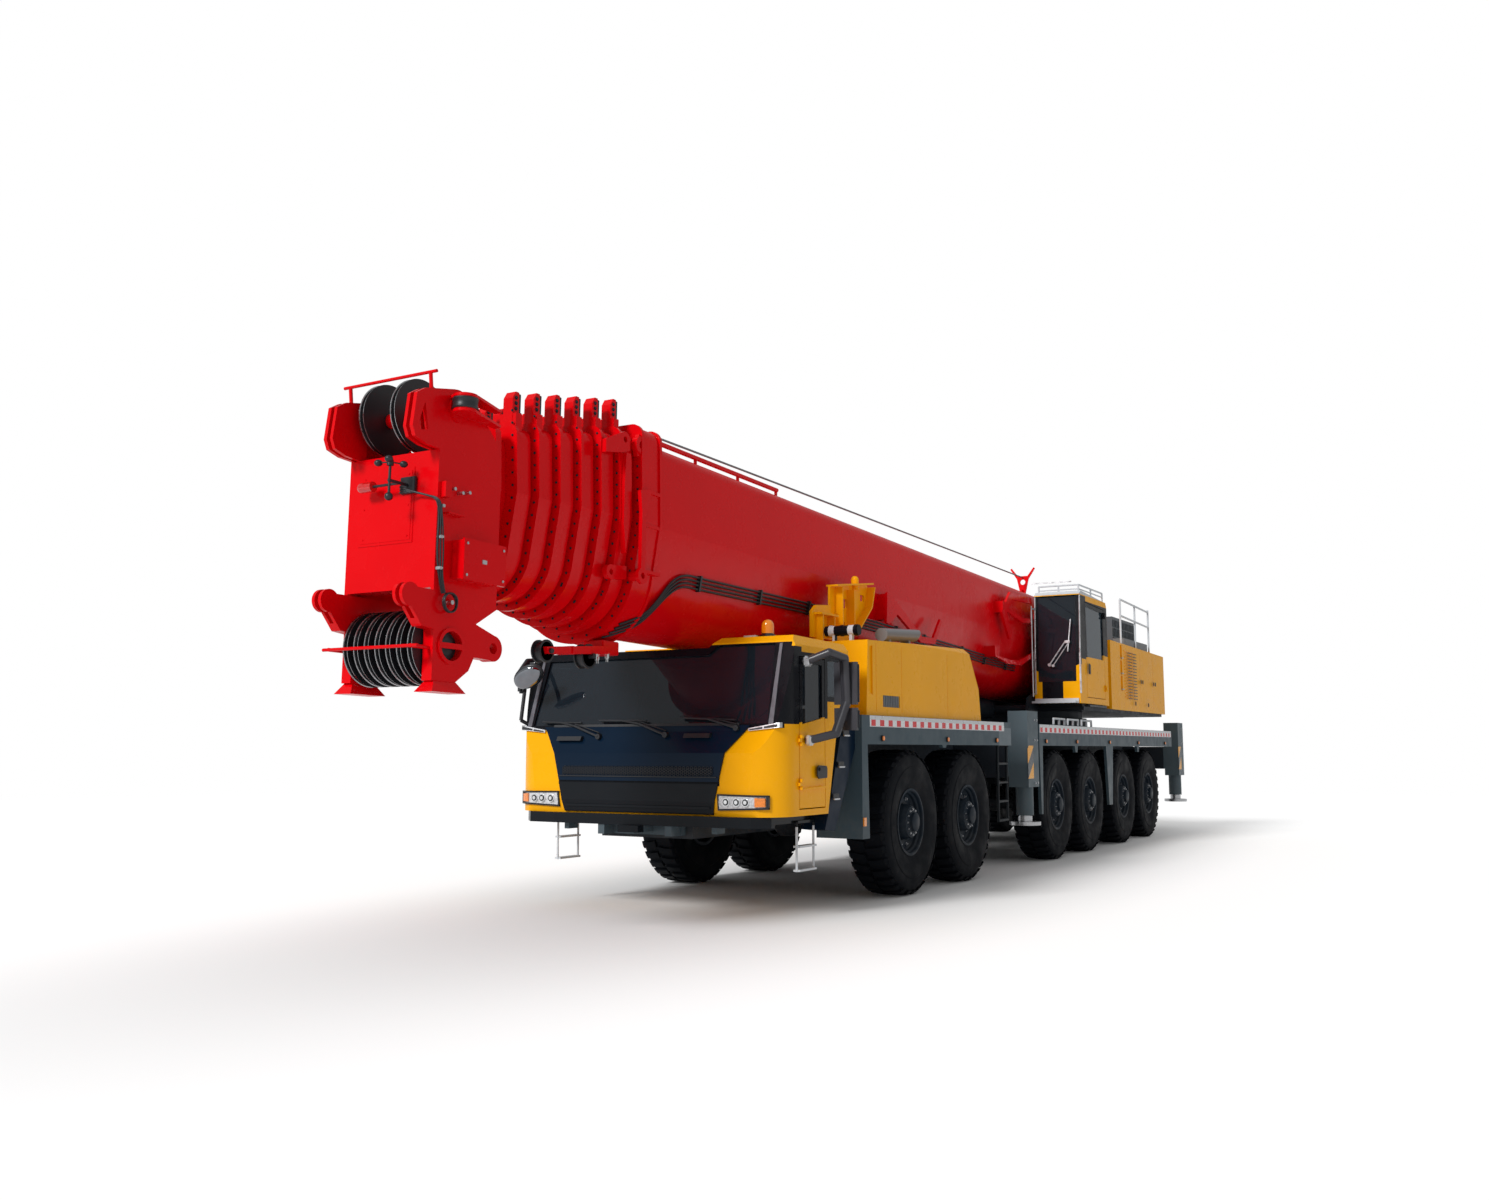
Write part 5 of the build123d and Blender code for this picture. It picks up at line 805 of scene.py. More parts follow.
# Places from the head's front face on, across and up
headSizes = {
    "face": 15.620,
    "hatch": (((-0.002, -0.32, -0.13), (0.005, 0.214, 0.416)),
              ((0.003, -0.30, -0.11), (0.008, 0.194, 0.396))),
    "hatchBevel": 0.002, "boltOff": 0.007, "boltColumns": (-0.27, 0.164), "boltRows": (-0.08, 0.143, 0.366),
    "bolt": (0.006, 0.006), "box": ((0.004, 0.10, 0.22), (0.030, 0.24, 0.34)), "boxBevel": 0.004,
    "gauge": (((0.02, 0.17, 0.28), (0.21, 0.17, 0.28), 0.012, 12),
              ((0.20, 0.17, 0.17), (0.20, 0.17, 0.40), 0.010, 12),
              ((0.20, 0.17, 0.385), (0.20, 0.17, 0.425), 0.024, 16),
              ((0.10, -0.11, 0.28), (0.10, 0.17, 0.28), 0.010, 12)),
    "cups": 3, "cupTurn": 40, "cupHub": (0.20, 0.17, 0.41), "cupReach": 0.10, "cupArm": 0.005, "cup": 0.030,
    "cupFlat": 0.8, "weight": (0.20, 0.17, 0.165),
    "lamp": ((0.10, -0.20, 0.28), (0.10, -0.09, 0.28), 0.038, 20), "lampBall": 0.037,
    "cables": ((0.452, 0.008), (0.466, 0.007), (0.478, 0.006)), "coilPoints": 41, "coilRadius": 0.007,
    "clipRows": (0.10, -0.12, -0.34), "clip": (-0.035, -0.005, 0.434, 0.484, 0.022), "clipBevel": 0.003,
    "coilPin": ((-0.12, 0.436, -0.560), (-0.12, 0.505, -0.560), 0.016, 12),
    "studs": ((15.35, 0.250), (15.42, 0.235), (15.50, 0.250)), "stud": (0.437, 0.490, 0.013, 10),
}


def fromFace(place):
    return (headSizes["face"] + place[0], *place[1:])


def addHeadBar(work, start, end, radius, steps):
    addBar(work, fromFace(start), fromFace(end), radius, steps)


def makeHatchAndGauge():
    s = headSizes
    hatch, gauge, lamp = bmesh.new(), bmesh.new(), bmesh.new()
    for low, high in s["hatch"]:
        addBlock(hatch, fromFace(low), fromFace(high), s["hatchBevel"])
    boomPiece("headHatch", hatch, "boom_head", "red")
    spots = [fromFace((s["boltOff"], y, v)) for y in s["boltColumns"] for v in s["boltRows"]]
    boomPiece("hatchBolts", onPoints(boltMesh(*s["bolt"], (1, 0, 0)), spots, "red"), "boom_head", "red")
    addBlock(gauge, *map(fromFace, s["box"]), s["boxBevel"])
    for bar in s["gauge"]:
        addHeadBar(gauge, *bar)
    x, y, z = s["cupHub"]
    for i in range(s["cups"]):
        turn = math.radians(s["cupTurn"] + 360 / s["cups"] * i)
        out = (x + s["cupReach"] * math.cos(turn), y + s["cupReach"] * math.sin(turn), z)
        addHeadBar(gauge, s["cupHub"], out, s["cupArm"], 8)
        addBall(gauge, fromFace(out), s["cup"], shape=Matrix.Diagonal((1, 1, s["cupFlat"], 1)))
    addBall(gauge, fromFace(s["weight"]), s["cup"])
    boomPiece("windGauge", gauge, "boom_head", "black")
    addHeadBar(lamp, *s["lamp"])
    addBall(lamp, fromFace(s["lamp"][0]), s["lampBall"], 16)
    boomPiece("headLamp", lamp, "boom_head", "ruby")


def makeHeadCables():
    s = headSizes
    cables = []
    for k, (out, radius) in enumerate(s["cables"]):
        points = [(0.10, 0.17, 0.25 - 0.02 * k), (0.06, 0.25, 0.22), (0.03, 0.36, 0.19), (0.02, out, 0.16),
                  (-0.01, out, 0.06), (-0.02 * k, out, -0.20), (-0.03, out, -0.40), (-0.07, out, -0.50)]
        cables.append(hoseMesh("cable", [fromFace(place) for place in points], radius))
    loop = []
    for i in range(s["coilPoints"]):
        turn = i * math.pi / 5
        loop.append(fromFace((-0.12 + (0.062 + 0.002 * (i % 7)) * math.cos(turn), 0.470 + 0.0006 * i,
                              -0.560 + 0.070 * math.sin(turn))))
    cables.append(hoseMesh("coil", loop, s["coilRadius"]))
    boomPiece("headCables", mergeMeshes("headCables", cables), "boom_head", "black", 60)
    clips = bmesh.new()
    back, front, near, far, tall = s["clip"]
    for v in s["clipRows"]:
        addBlock(clips, fromFace((back, near, v)), fromFace((front, far, v + tall)), s["clipBevel"])
    addHeadBar(clips, *s["coilPin"])
    near, far, radius, steps = s["stud"]
    for u, v in s["studs"]:
        addBar(clips, (u, near, v), (u, far, v), radius, steps)
    boomPiece("headClips", clips, "boom_head", "steel")


sheaveSizes = {
    "sleeve": [(0.0842, -0.040), (0.090, -0.040), (0.094, -0.030), (0.088, -0.012), (0.088, 0.012),
               (0.094, 0.030), (0.090, 0.040), (0.0842, 0.040)],
    "sleevePlace": (15.480, 0.530, 0.862),
    "rim": [(0.2655, 0.0165), (0.2712, 0.0185), (0.2712, 0.0228), (0.2655, 0.0212)],
    "sets": (("top", 15.450, 0.843, [-0.250, 0.060]),
             ("low", 15.430, -0.857, [(i - 3) * 0.104 for i in range(7)])),
    "boss": ((0.330, 0.392, 0.100, 36), (0.392, 0.402, 0.062, 30)), "bossX": 15.430, "bossZ": -0.857,
    "latchX": (15.06, 15.44), "latchZ": (-0.36, -0.135), "latch": (0.565, 0.573, 0.010, 10),
    "lid": ((15.235, 0.564, -0.262), (15.285, 0.574, -0.232), 0.003),
}


def makeSheaveFittings():
    s = sheaveSizes
    sleeve, boss, lid = bmesh.new(), bmesh.new(), bmesh.new()
    lathe(sleeve, s["sleeve"], 40)
    turned = tidyMesh(sleeve, "ropeRoller")
    turned.transform(Matrix.Translation(s["sleevePlace"]) @ Matrix.Rotation(math.radians(90), 4, "X"))
    boomPiece("ropeRoller", turned, "boom_head", "black")
    for word, u, v, places in s["sets"]:
        rims = bmesh.new()
        for y in places:
            for side in (-1, 1):
                lathe(rims, [(r, y + side * off) for r, off in s["rim"]], 72)
        turned = tidyMesh(rims, "sheaveRims")
        turned.transform(Matrix.Translation((u, 0.0, v)))
        boomPiece(f"sheaveRims_{word}", turned, f"sheaves_{word}", "steel")
    for near, far, radius, steps in s["boss"]:
        addBar(boss, (s["bossX"], near, s["bossZ"]), (s["bossX"], far, s["bossZ"]), radius, steps)
    boomPiece("sheaveBoss", boss, "boom_head", "black")
    near, far, radius, steps = s["latch"]
    for v in s["latchZ"]:
        for u in s["latchX"]:
            addBar(lid, (u, near, v), (u, far, v), radius, steps)
    addBlock(lid, *s["lid"])
    boomPiece("boxLatches", lid, "boom_head", "steel")


makeHoses()
makeCollars()
makeHoistWire()
makeUnderArm()
makeHatchAndGauge()
makeHeadCables()
makeSheaveFittings()
print("boom fittings made")

cabSizes = {"half": 1.476, "cornerStart": 1.146, "corner": 0.330, "cornerX": 6.030,
            "profile": [(0.905, 6.330), (1.045, 6.360), (1.450, 6.348), (1.640, 6.255), (2.440, 6.010)]}


# The place on the cab's front at y and z, and out from it
def cabSkin(y, z, out=0.0):
    s = cabSizes
    x = s["profile"][0][1] if z < s["profile"][0][0] else s["profile"][-1][1]
    for (z0, x0), (z1, x1) in zip(s["profile"], s["profile"][1:]):
        if z0 <= z <= z1:
            x = x0 + (x1 - x0) * (z - z0) / (z1 - z0)
    over = abs(y) - s["cornerStart"]
    if over > 0:
        x = min(x, s["cornerX"] + math.sqrt(max((s["corner"] + out) ** 2 - over * over, 0.0)) - out)
    return (x + out, y, z)


# A patch from one upright edge (y, low, high) to another, this far out and deep
def skinPatch(work, first, last, out, depth, steps=12, side=1):
    rows = []
    for i in range(steps + 1):
        y, low, high = (a + (b - a) * i / steps for a, b in zip(first, last))
        edge = ((low, out - depth), (low, out), (high, out), (high, out - depth))
        rows.append([work.verts.new(cabSkin(side * y, z, off)) for z, off in edge])
    closeLoops(work, rows, capped=True)


cabTrim = {
    "strip": [(1.305, 1.700), (1.352, 1.700), (1.330, 2.415), (1.302, 2.415)], "stripOff": 0.012,
    "corner": ((1.12, 1.640, 1.664), (1.42, 1.668, 1.712), 0.024, 0.03),
    "slots": (((1.135, 1.647, 1.657), (1.26, 1.659, 1.675), 0.028, 0.01),
              ((1.275, 1.662, 1.678), (1.405, 1.674, 1.700), 0.028, 0.01)),
    "scuttle": (((-1.02, 1.690, 1.712), (1.02, 1.690, 1.712), 0.026, 0.03, 20),
                ((-0.92, 1.563, 1.603), (-0.64, 1.563, 1.603), 0.060, 0.04),
                ((0.49, 1.583, 1.623), (0.76, 1.583, 1.623), 0.060, 0.04)),
}


def makeCabTrim():
    s = cabTrim
    trim, corner, slots = bmesh.new(), bmesh.new(), bmesh.new()
    for side in (-1, 1):
        closeLoops(trim, [[trim.verts.new(cabSkin(side * y, z, out)) for y, z in s["strip"]]
                          for out in (s["stripOff"], -s["stripOff"])], capped=True)
        skinPatch(corner, *s["corner"], side=side)
        for patch in s["slots"]:
            skinPatch(slots, *patch, side=side)
    for patch in s["scuttle"]:
        skinPatch(slots, *patch)
    addPiece("pillarTrim", trim, "chassis", "pillar")
    addPiece("cornerTrim", corner, "chassis", "silver")
    addPiece("scuttle", slots, "chassis", "black")


# Each wiper's foot, elbow and the two ends of its blade, across and up
wiperPlaces = (
    ((-0.455, 1.600), (-0.76, 1.700), ((-1.17, 1.742), (-0.70, 1.728))),
    ((0.285, 1.612), (-0.03, 1.715), ((-0.50, 1.748), (0.03, 1.742))),
    ((1.010, 1.668), (0.80, 1.725), ((0.40, 1.765), (0.98, 1.738))),
)


def makeWipers():
    arms = bmesh.new()
    for foot, elbow, tips in wiperPlaces:
        middle = [(a + b) / 2 for a, b in zip(*tips)]
        addBar(arms, cabSkin(*foot, 0.0), cabSkin(*foot, 0.062), 0.026, 14)
        addBar(arms, cabSkin(*foot, 0.055), cabSkin(*elbow, 0.048), 0.011, 8)
        addBar(arms, cabSkin(foot[0], foot[1] + 0.035, 0.050), cabSkin(elbow[0], elbow[1] + 0.018, 0.044),
               0.006, 8)
        addBar(arms, cabSkin(*elbow, 0.050), cabSkin(*middle, 0.030), 0.010, 8)
        for out, radius in ((0.026, 0.008), (0.012, 0.005)):
            addBars(arms, [cabSkin(*tip, out) for tip in tips], radius, 8)
    addPiece("cabWipers", arms, "chassis", "black")


meshSizes = {"outer": 0.0135, "inner": 0.0095, "back": -0.003, "front": 0.004, "rows": 3, "columns": 80,
             "pitchY": 0.0205, "low": 1.262, "pitchZ": 0.0236, "off": 0.0235,
             "line": ((-0.86, 1.236, 1.244), (0.86, 1.236, 1.244), 0.027, 0.01, 4)}


def makeHoneycomb():
    s = meshSizes
    cell, line = bmesh.new(), bmesh.new()
    loops = []
    outer, inner, back, front = s["outer"], s["inner"], s["back"], s["front"]
    for r, x in ((outer, back), (outer, front), (inner, front), (inner, back)):
        loops.append([cell.verts.new((x, r * math.cos(i * math.pi / 3), r * math.sin(i * math.pi / 3)))
                      for i in range(6)])
    closeLoops(cell, loops)
    points = []
    for row in range(s["rows"]):
        for i in range(s["columns"]):
            z = s["low"] + (row + (0.5 if i % 2 else 0.0)) * s["pitchZ"]
            points.append(cabSkin((i - (s["columns"] - 1) / 2) * s["pitchY"], z, s["off"]))
    addPiece("honeycomb", onPoints(tidyMesh(cell, "meshCell"), points, "black"), "chassis", "black")
    skinPatch(line, *s["line"])
    addPiece("maskLine", line, "chassis", "black")


headlamp = {
    "turn": ((1.235, 0.992, 1.070), (1.320, 0.996, 1.066), 0.019, 0.012),
    "bowls": (0.955, 1.060, 1.150), "height": 1.030, "off": 0.012,
    "rounds": (("bowl", 0.0, 0.010, 0.036, 24), ("frame", 0.004, 0.012, 0.029, 24),
               ("bowl", 0.006, 0.016, 0.017, 20)),
    "frame": (((0.865, 0.955, 0.970), (1.345, 0.972, 0.988), 0.018, 0.02),
              ((0.865, 1.084, 1.098), (1.345, 1.076, 1.092), 0.018, 0.02),
              ((0.865, 0.960, 1.094), (0.882, 0.960, 1.094), 0.018, 0.02, 2),
              ((1.328, 0.975, 1.088), (1.345, 0.975, 1.088), 0.018, 0.02, 2)),
}


def makeHeadlamps():
    s = headlamp
    amber, parts = bmesh.new(), {"bowl": bmesh.new(), "frame": bmesh.new()}
    for side in (-1, 1):
        skinPatch(amber, *s["turn"], side=side)
        for y in s["bowls"]:
            place = Vector(cabSkin(side * y, s["height"], s["off"]))
            for part, near, far, radius, steps in s["rounds"]:
                addBar(parts[part], place + Vector((near, 0, 0)), place + Vector((far, 0, 0)), radius, steps)
        for patch in s["frame"]:
            skinPatch(parts["frame"], *patch, side=side)
    addPiece("turnLamps", amber, "chassis", "amber")
    addPiece("lampBowls", parts["bowl"], "chassis", "chrome")
    addPiece("lampFrames", parts["frame"], "chassis", "gloss")


frontMirror = {
    "arm": [(6.00, -1.36, 2.36), (6.22, -1.40, 2.34), (6.38, -1.36, 2.22), (6.42, -1.30, 2.10)],
    "armRadius": 0.020,
    "stay": [(6.20, -1.40, 2.34), (6.27, -1.42, 1.76), (6.20, -1.38, 1.72)], "stayRadius": 0.018,
    "joint": ((6.22, -1.47, 2.02), (6.29, -1.40, 2.26), 0.02), "radius": 0.17, "shape": (0.22, 1.02, 0.66),
    "place": (6.42, -1.21, 2.17), "turnX": 28, "turnY": 38,
    "shells": (("frontMirrorBack", "black", 1.0, 0.0), ("frontMirrorGlass", "mirror", 0.90, 0.014)),
}


def makeFrontMirror():
    s = frontMirror
    arm = bmesh.new()
    addBars(arm, s["arm"], s["armRadius"])
    addBars(arm, s["stay"], s["stayRadius"])
    addBlock(arm, *s["joint"])
    addPiece("frontMirrorArm", arm, "chassis", "black")
    turn = (Matrix.Rotation(math.radians(s["turnX"]), 4, "X")
            @ Matrix.Rotation(math.radians(s["turnY"]), 4, "Y"))
    (x, y, z), (flat, wide, tall) = s["place"], s["shape"]
    for name, finish, scale, shift in s["shells"]:
        shell = bmesh.new()
        shape = turn @ Matrix.Diagonal((flat, wide * scale, tall * scale, 1))
        addBall(shell, (x + shift, y, z - shift), s["radius"], 28, 14, shape)
        addPiece(name, shell, "chassis", finish)


doorSizes = {
    "cup": [(5.478, 1.228), (5.640, 1.222), (5.668, 1.250), (5.668, 1.318), (5.640, 1.340), (5.490, 1.335),
            (5.474, 1.310)],
    "crease": [(5.475, 1.140), (5.935, 1.132), (5.935, 1.142), (5.475, 1.158)],
    "glassX": (5.498, 5.5055), "glassOut": (0.155, 0.345), "glassRows": ((1.90, 2.24), (1.67, 1.83)),
    "arm": [(5.880, 0.012, 2.255), (5.830, 0.210, 2.330), (5.600, 0.250, 2.290), (5.560, 0.250, 1.900),
            (5.700, 0.210, 1.620), (5.850, 0.012, 1.560)],
    "armRadius": 0.037, "clamps": ((5.88, 2.255), (5.85, 1.56)), "clampHalf": 0.045, "clampOut": 0.05,
}


def makeDoorFittings():
    s = doorSizes
    for side, word in sides:
        body = f"cab_door_{word}"
        y = side * cabSizes["half"]
        cup, line, glass, arm, clamp = (bmesh.new() for i in range(5))
        addPrism(cup, s["cup"], "Y", y - side * 0.004, y + side * 0.007)
        addBlock(cup, (5.50, y, 1.292), (5.645, y + side * 0.022, 1.322), 0.006)
        addPiece(f"doorHandle_{word}", cup, body, "black")
        addPrism(line, s["crease"], "Y", y - side * 0.002, y + side * 0.005)
        addPiece(f"doorCrease_{word}", line, body, "door")
        back, front = s["glassX"]
        near, far = (y + side * out for out in s["glassOut"])
        for low, high in s["glassRows"]:
            addBlock(glass, (back, near, low), (front, far, high), 0.003)
        addPiece(f"mirrorGlass_{word}", glass, body, "mirror")
        route = [(x, side * (cabSizes["half"] + out), z) for x, out, z in s["arm"]]
        addBars(arm, route, s["armRadius"], 18)
        for place in route[1:-1]:
            addBall(arm, place, s["armRadius"], 18, 10)
        addPiece(f"mirrorSleeve_{word}", arm, body, "arm")
        half = s["clampHalf"]
        for x, z in s["clamps"]:
            addBlock(clamp, (x - half, y, z - half), (x + half, y + side * s["clampOut"], z + half), 0.012)
        addPiece(f"mirrorClamps_{word}", clamp, body, "silver")


stepSizes = {"out": 1.456, "places": ((4.965, 1.615), (5.075, 1.325), (5.185, 1.035)), "long": 0.13,
             "tall": 0.045}


def makeStepPanel():
    s = stepSizes
    slots, lips = bmesh.new(), bmesh.new()
    for side in (-1, 1):
        y = side * s["out"]
        for x, z in s["places"]:
            addBlock(slots, (x, y - side * 0.01, z), (x + s["long"], y + side * 0.003, z + s["tall"]), 0.008)
            addBlock(lips, (x + 0.005, y, z - 0.012),
                     (x + s["long"] - 0.005, y + side * 0.014, z + 0.002), 0.003)
    addPiece("stepSlots", slots, "chassis", "black")
    addPiece("stepLips", lips, "chassis", "steel")


makeCabTrim()
makeWipers()
makeHoneycomb()
makeHeadlamps()
makeFrontMirror()
makeDoorFittings()
makeStepPanel()
print("cab fittings made")

deckSizes = {
    "edgeY": 1.5, "runs": ((-8.44, -0.69), (0.72, 4.60)), "sink": 0.001, "band": (1.708, 1.768, 0.003),
    "edge": (1.700, 1.808, 0.0015), "lampX": (4.317, 2.598, 1.014, -0.93, -2.37, -4.14, -5.95, -7.9),
    "lampZ": 1.590, "rim": (0.0, 0.016, 0.030), "lamp": (0.012, 0.024, 0.022),
}


def makeDeckMarks():
    s = deckSizes
    band, edge, lamps, rims = (bmesh.new() for i in range(4))
    for side in (-1, 1):
        y = side * s["edgeY"]
        for work, (low, high, out) in ((band, s["band"]), (edge, s["edge"])):
            for back, front in s["runs"]:
                addBlock(work, (back, y - side * s["sink"], low), (front, y + side * out, high))
        for work, (near, far, radius) in ((rims, s["rim"]), (lamps, s["lamp"])):
            for x in s["lampX"]:
                addBar(work, (x, y + side * near, s["lampZ"]), (x, y + side * far, s["lampZ"]), radius, 20)
    addPiece("edgeBand", band, "chassis", "reflective")
    addPiece("edgePlate", edge, "chassis", "silver")
    addPiece("markerLamps", lamps, "chassis", "amber")
    addPiece("markerRims", rims, "chassis", "black")


hazardSizes = {"back": 0.225, "front": 0.006, "low": 1.11, "high": 1.53, "sink": 0.002, "out": 0.003,
               "boltX": (0.05, 0.15), "boltZ": (1.05, 1.60, 1.86), "bolt": (0.012, 0.010)}


def makeHazardPlates():
    s = hazardSizes
    for place in ("front", "rear"):
        for side, word in sides:
            body = f"outrigger_beam_{place}_{word}"
            low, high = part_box(body)
            out = high[1] if side == 1 else low[1]
            plate = bmesh.new()
            addBlock(plate, (high[0] - s["back"], out - side * s["sink"], s["low"]),
                     (high[0] - s["front"], out + side * s["out"], s["high"]))
            addPiece(f"hazard_{place}_{word}", plate, body, "hazard")
            spots = [(low[0] + x, out, z) for x in s["boltX"] for z in s["boltZ"]]
            bolts = onPoints(boltMesh(*s["bolt"], (0, side, 0)), spots, "steel")
            addPiece(f"jackBolts_{place}_{word}", bolts, body, "steel")


tailSizes = {"near": 0.16, "far": 0.47, "low": 1.36, "high": 1.50, "lamps": 3, "pitch": 0.099, "wide": 0.088,
             "margin": 0.012, "inset": 0.015, "plate": (0.09, 1.04, 1.22)}


def makeTail():
    s = tailSizes
    lamps, cases = bmesh.new(), bmesh.new()
    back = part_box("chassis_frame")[0][0]
    for side in (-1, 1):
        near, far = sorted((side * s["near"], side * s["far"]))
        addBlock(cases, (back - 0.022, near, s["low"]), (back + 0.002, far, s["high"]), 0.006)
        for i in range(s["lamps"]):
            y = near + s["margin"] + i * s["pitch"]
            addBlock(lamps, (back - 0.028, y, s["low"] + s["inset"]),
                     (back - 0.018, y + s["wide"], s["high"] - s["inset"]), 0.004)
    half, low, high = s["plate"]
    addBlock(cases, (back - 0.030, -half, low), (back + 0.002, half, high), 0.01)
    addPiece("tailLamps", lamps, "chassis", "ruby")
    addPiece("tailCases", cases, "chassis", "black")


makeDeckMarks()
makeHazardPlates()
makeTail()
print("deck fittings made")

operatorSizes = {
    "pillars": (0.765, 1.440),
    "rail": (((-2.85, 0.735, 2.26), (-2.85, 0.735, 3.62), 0.013, 12),
             ((-2.85, 0.735, 2.30), (-2.93, 0.775, 2.30), 0.011, 10),
             ((-2.85, 0.735, 3.58), (-2.93, 0.775, 3.58), 0.011, 10)),
    "wiper": (((-2.905, 0.986, 2.729), (-2.865, 0.986, 2.729), 0.024, 14),
              ((-2.905, 1.040, 2.715), (-2.865, 1.040, 2.715), 0.020, 14),
              ((-2.870, 0.986, 2.729), (-2.880, 1.235, 3.08), 0.010, 8),
              ((-2.870, 1.040, 2.715), (-2.880, 1.285, 3.06), 0.007, 8),
              ((-2.884, 1.262, 2.92), (-2.902, 1.310, 3.40), 0.010, 8)),
    "wiperHead": ((-2.893, 1.222, 3.045), (-2.870, 1.300, 3.085), 0.004),
    "handle": [(-3.30, 2.60), (-3.37, 2.60), (-3.38, 2.74), (-3.30, 2.76)], "handleY": (1.452, 1.464),
    "roofBand": ((-2.70, 0.80, 3.925), (-2.697, 1.40, 3.945)),
}


def makeOperatorTrim():
    s = operatorSizes
    trim, wiper, cup, band = (bmesh.new() for i in range(4))
    for y in s["pillars"]:
        addBlock(trim, (-2.912, y - 0.011, 2.30), (-2.884, y + 0.011, 2.90), 0.004)
        addBar(trim, (-2.896, y, 2.90), (-2.944, y, 3.76), 0.012, 10)
    for work, bars in ((trim, s["rail"]), (wiper, s["wiper"])):
        for bar in bars:
            addBar(work, *bar)
    addBlock(wiper, *s["wiperHead"])
    addPrism(cup, s["handle"], "Y", *s["handleY"])
    addBlock(band, *s["roofBand"])
    addPiece("operatorTrim", trim, "superstructure", "silver")
    addPiece("operatorWiper", wiper, "superstructure", "silver")
    addPiece("operatorHandle", cup, "operator_door", "black")
    addPiece("roofBand", band, "superstructure", "silver")


machineSizes = {
    "side": 1.476, "stepX": (-5.285, -5.185), "stepZ": (2.44, 2.70, 2.95), "stepTall": 0.018,
    "latches": ((-6.42, 2.62), (-6.54, 2.62), (-7.34, 2.62), (-7.46, 2.62), (-6.0, 2.24), (-6.9, 2.24)),
    "latchX": 0.022, "latchZ": 0.035,
}


def makeMachineFittings():
    s = machineSizes
    steps, latches = bmesh.new(), bmesh.new()
    back, front = s["stepX"]
    for z in s["stepZ"]:  # the way up is on the left alone
        addBlock(steps, (back, s["side"] - 0.03, z), (front, s["side"] + 0.004, z + s["stepTall"]), 0.003)
    for side in (-1, 1):
        y = side * s["side"]
        for x, z in s["latches"]:
            addBlock(latches, (x - s["latchX"], y - side * 0.002, z - s["latchZ"]),
                     (x + s["latchX"], y + side * 0.010, z + s["latchZ"]), 0.005)
    addPiece("machineSteps", steps, "superstructure", "steel")
    addPiece("machineLatches", latches, "superstructure", "black")


# Painted shadows: thin black strips under the louvres stand for the shadow each louvre casts on the housing
louvreSizes = {"x": (-5.822, -5.562), "y": (1.4765, 1.4775), "z": (2.306, 2.320), "columns": 2,
               "columnStep": -0.330, "rows": 16, "rowStep": 0.050}


def makeLouvrePaintedShadows():
    s = louvreSizes
    spots = [(i * s["columnStep"], 0.0, j * s["rowStep"])
             for i in range(s["columns"]) for j in range(s["rows"])]
    for side, word in reversed(sides):
        shade = bmesh.new()
        addBlock(shade, *((x, side * y, z) for x, y, z in zip(s["x"], s["y"], s["z"])))
        shadowStrips = onPoints(plainMesh(shade, "shade"), spots, "black")
        addPiece(f"louvreShades_{word}", shadowStrips, "superstructure", "black")


ropeSizes = {"turns": 30, "half": 0.318, "outline": ((0.222, -0.0108), (0.236, -0.0055), (0.238, 0.0),
                                                     (0.236, 0.0055), (0.222, 0.0108)),
             "inside": [(0.198, 0.329), (0.198, -0.329)], "place": (-7.7, 0.0, 2.56)}


def makeWinchRope():
    s = ropeSizes
    outline = []
    for i in range(s["turns"]):
        y = -s["half"] + i * 2 * s["half"] / (s["turns"] - 1)
        outline += [(r, y + off) for r, off in s["outline"]]
    rope = bmesh.new()
    lathe(rope, outline + s["inside"], 48)
    mesh = tidyMesh(rope, "winchRope")
    mesh.transform(Matrix.Translation(s["place"]))
    addPiece("winchRope", mesh, "superstructure", "rope")


makeOperatorTrim()
makeMachineFittings()
makeLouvrePaintedShadows()
makeWinchRope()
print("superstructure fittings made")

view = {"place": (15.998, 6.775, 1.483), "forward": (-0.8573, -0.5018, 0.1147), "lens": 31.25, "sensor": 36.0,
        "clip": 400.0}
camera = linked("camera", bpy.data.cameras.new("camera"))
camera.location = view["place"]
camera.rotation_euler = Vector(view["forward"]).to_track_quat("-Z", "Y").to_euler()
camera.data.lens = view["lens"]
camera.data.sensor_width = view["sensor"]
camera.data.sensor_fit = "HORIZONTAL"
camera.data.clip_end = view["clip"]
bpy.context.scene.camera = camera

# The floor's white lift is held back in an ellipse round the crane: a painted shadow under and around it
floorSizes = {"radius": 150.0, "colour": (0.88, 0.88, 0.88, 1), "glow": 0.34, "paintedShadowShape": (0.11, 0.42, 0.0),
              "paintedShadowFadeFrom": 0.6, "paintedShadowFadeTo": 1.7, "fadeFrom": 14.0, "fadeTo": 34.0, "backSeen": 0.45,
              "backLeast": 0.55}


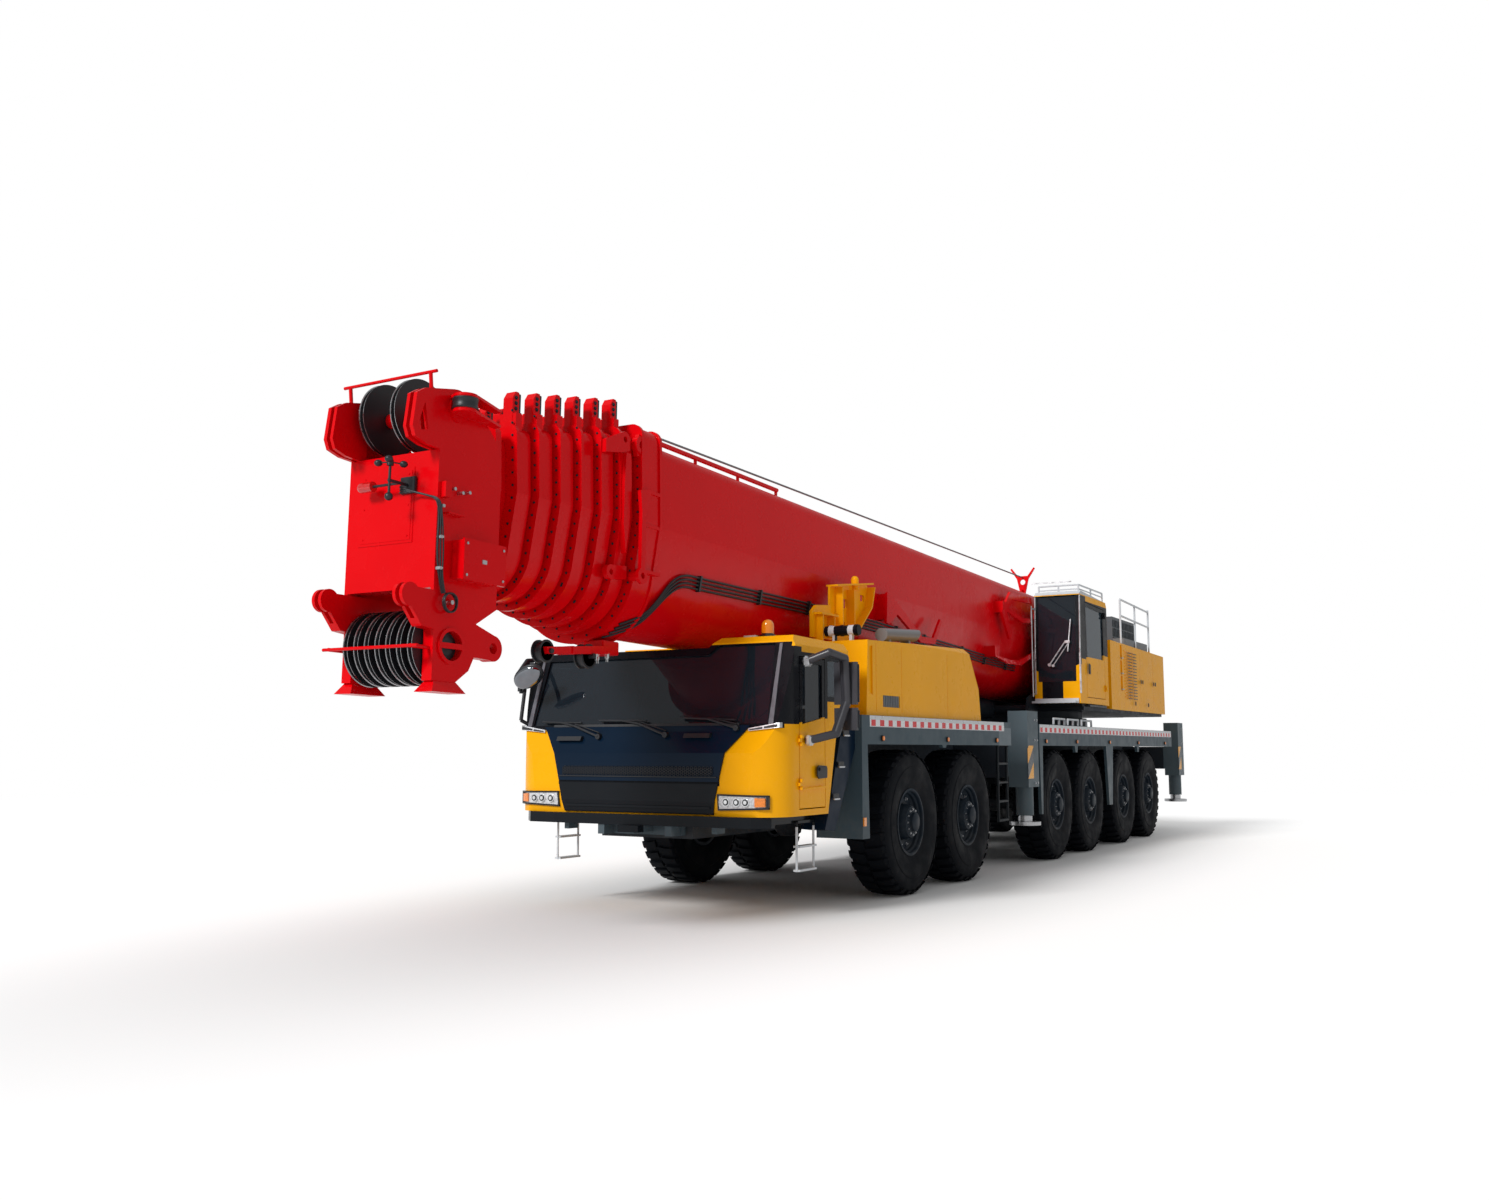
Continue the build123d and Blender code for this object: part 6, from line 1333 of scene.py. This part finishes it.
def makeFloor():
    s = floorSizes
    work = bmesh.new()
    bmesh.ops.create_circle(work, cap_ends=True, segments=96, radius=s["radius"])
    floor = linked("floor", plainMesh(work, "floor"))
    finish = bpy.data.materials.new("paleFloor")
    finish.use_nodes = True
    tree = finish.node_tree
    tree.nodes.clear()
    point = objectPoint(tree)
    rays = addNode(tree, "ShaderNodeLightPath").outputs
    # Painted shadow: the camera-ray lift to white falls to nothing in an ellipse round the crane, so the
    # floor there is painted darker
    near = vectorMaths(tree, "LENGTH", vectorMaths(tree, "MULTIPLY", point, s["paintedShadowShape"])[0])["Value"]
    glow = span(tree, near, s["paintedShadowFadeFrom"], s["paintedShadowFadeTo"], 0.0, s["glow"])
    lift = maths(tree, "MULTIPLY", rays["Is Camera Ray"], glow)
    lit = addNode(tree, "ShaderNodeEmission", {"Color": (1, 1, 1, 1), "Strength": lift})
    pale = addNode(tree, "ShaderNodeBsdfDiffuse", {"Color": s["colour"]})
    both = addNode(tree, "ShaderNodeAddShader", {0: pale.outputs[0], 1: lit.outputs[0]})
    seen = maths(tree, "MAXIMUM", rays["Is Camera Ray"], rays["Is Glossy Ray"])
    light = maths(tree, "ADD", maths(tree, "MULTIPLY", seen, s["backSeen"]), s["backLeast"])
    away = addNode(tree, "ShaderNodeEmission", {"Strength": light})
    reach = vectorMaths(tree, "LENGTH", point)["Value"]
    fade = span(tree, reach, s["fadeFrom"], s["fadeTo"], 0.0, 1.0)  # the floor ends in the pale backdrop
    mix = addNode(tree, "ShaderNodeMixShader", {0: fade, 1: both.outputs[0], 2: away.outputs[0]})
    addNode(tree, "ShaderNodeOutputMaterial", {"Surface": mix.outputs[0]})
    floor.data.materials.append(finish)


lightSizes = {"seen": 0.58, "least": 0.42, "sun": 2.35, "sunAngle": 14, "sunWay": (-0.84, 0.16, -0.50)}


def makeLight():
    s = lightSizes
    world = bpy.data.worlds.new("studio")
    bpy.context.scene.world = world
    world.use_nodes = True
    tree = world.node_tree
    rays = addNode(tree, "ShaderNodeLightPath").outputs
    seen = maths(tree, "MAXIMUM", rays["Is Camera Ray"], rays["Is Transmission Ray"])
    strength = maths(tree, "ADD", maths(tree, "MULTIPLY", seen, s["seen"]), s["least"])
    setShader(tree, tree.nodes["Background"], {"Strength": strength, "Color": (1, 1, 1, 1)})
    sun = bpy.data.lights.new("key", "SUN")
    sun.energy = s["sun"]
    sun.angle = math.radians(s["sunAngle"])
    key = linked("key", sun)
    key.rotation_euler = Vector(s["sunWay"]).to_track_quat("-Z", "Y").to_euler()


makeFloor()
makeLight()
bpy.context.scene.view_settings.view_transform = "Standard"
print("camera, light and floor made")
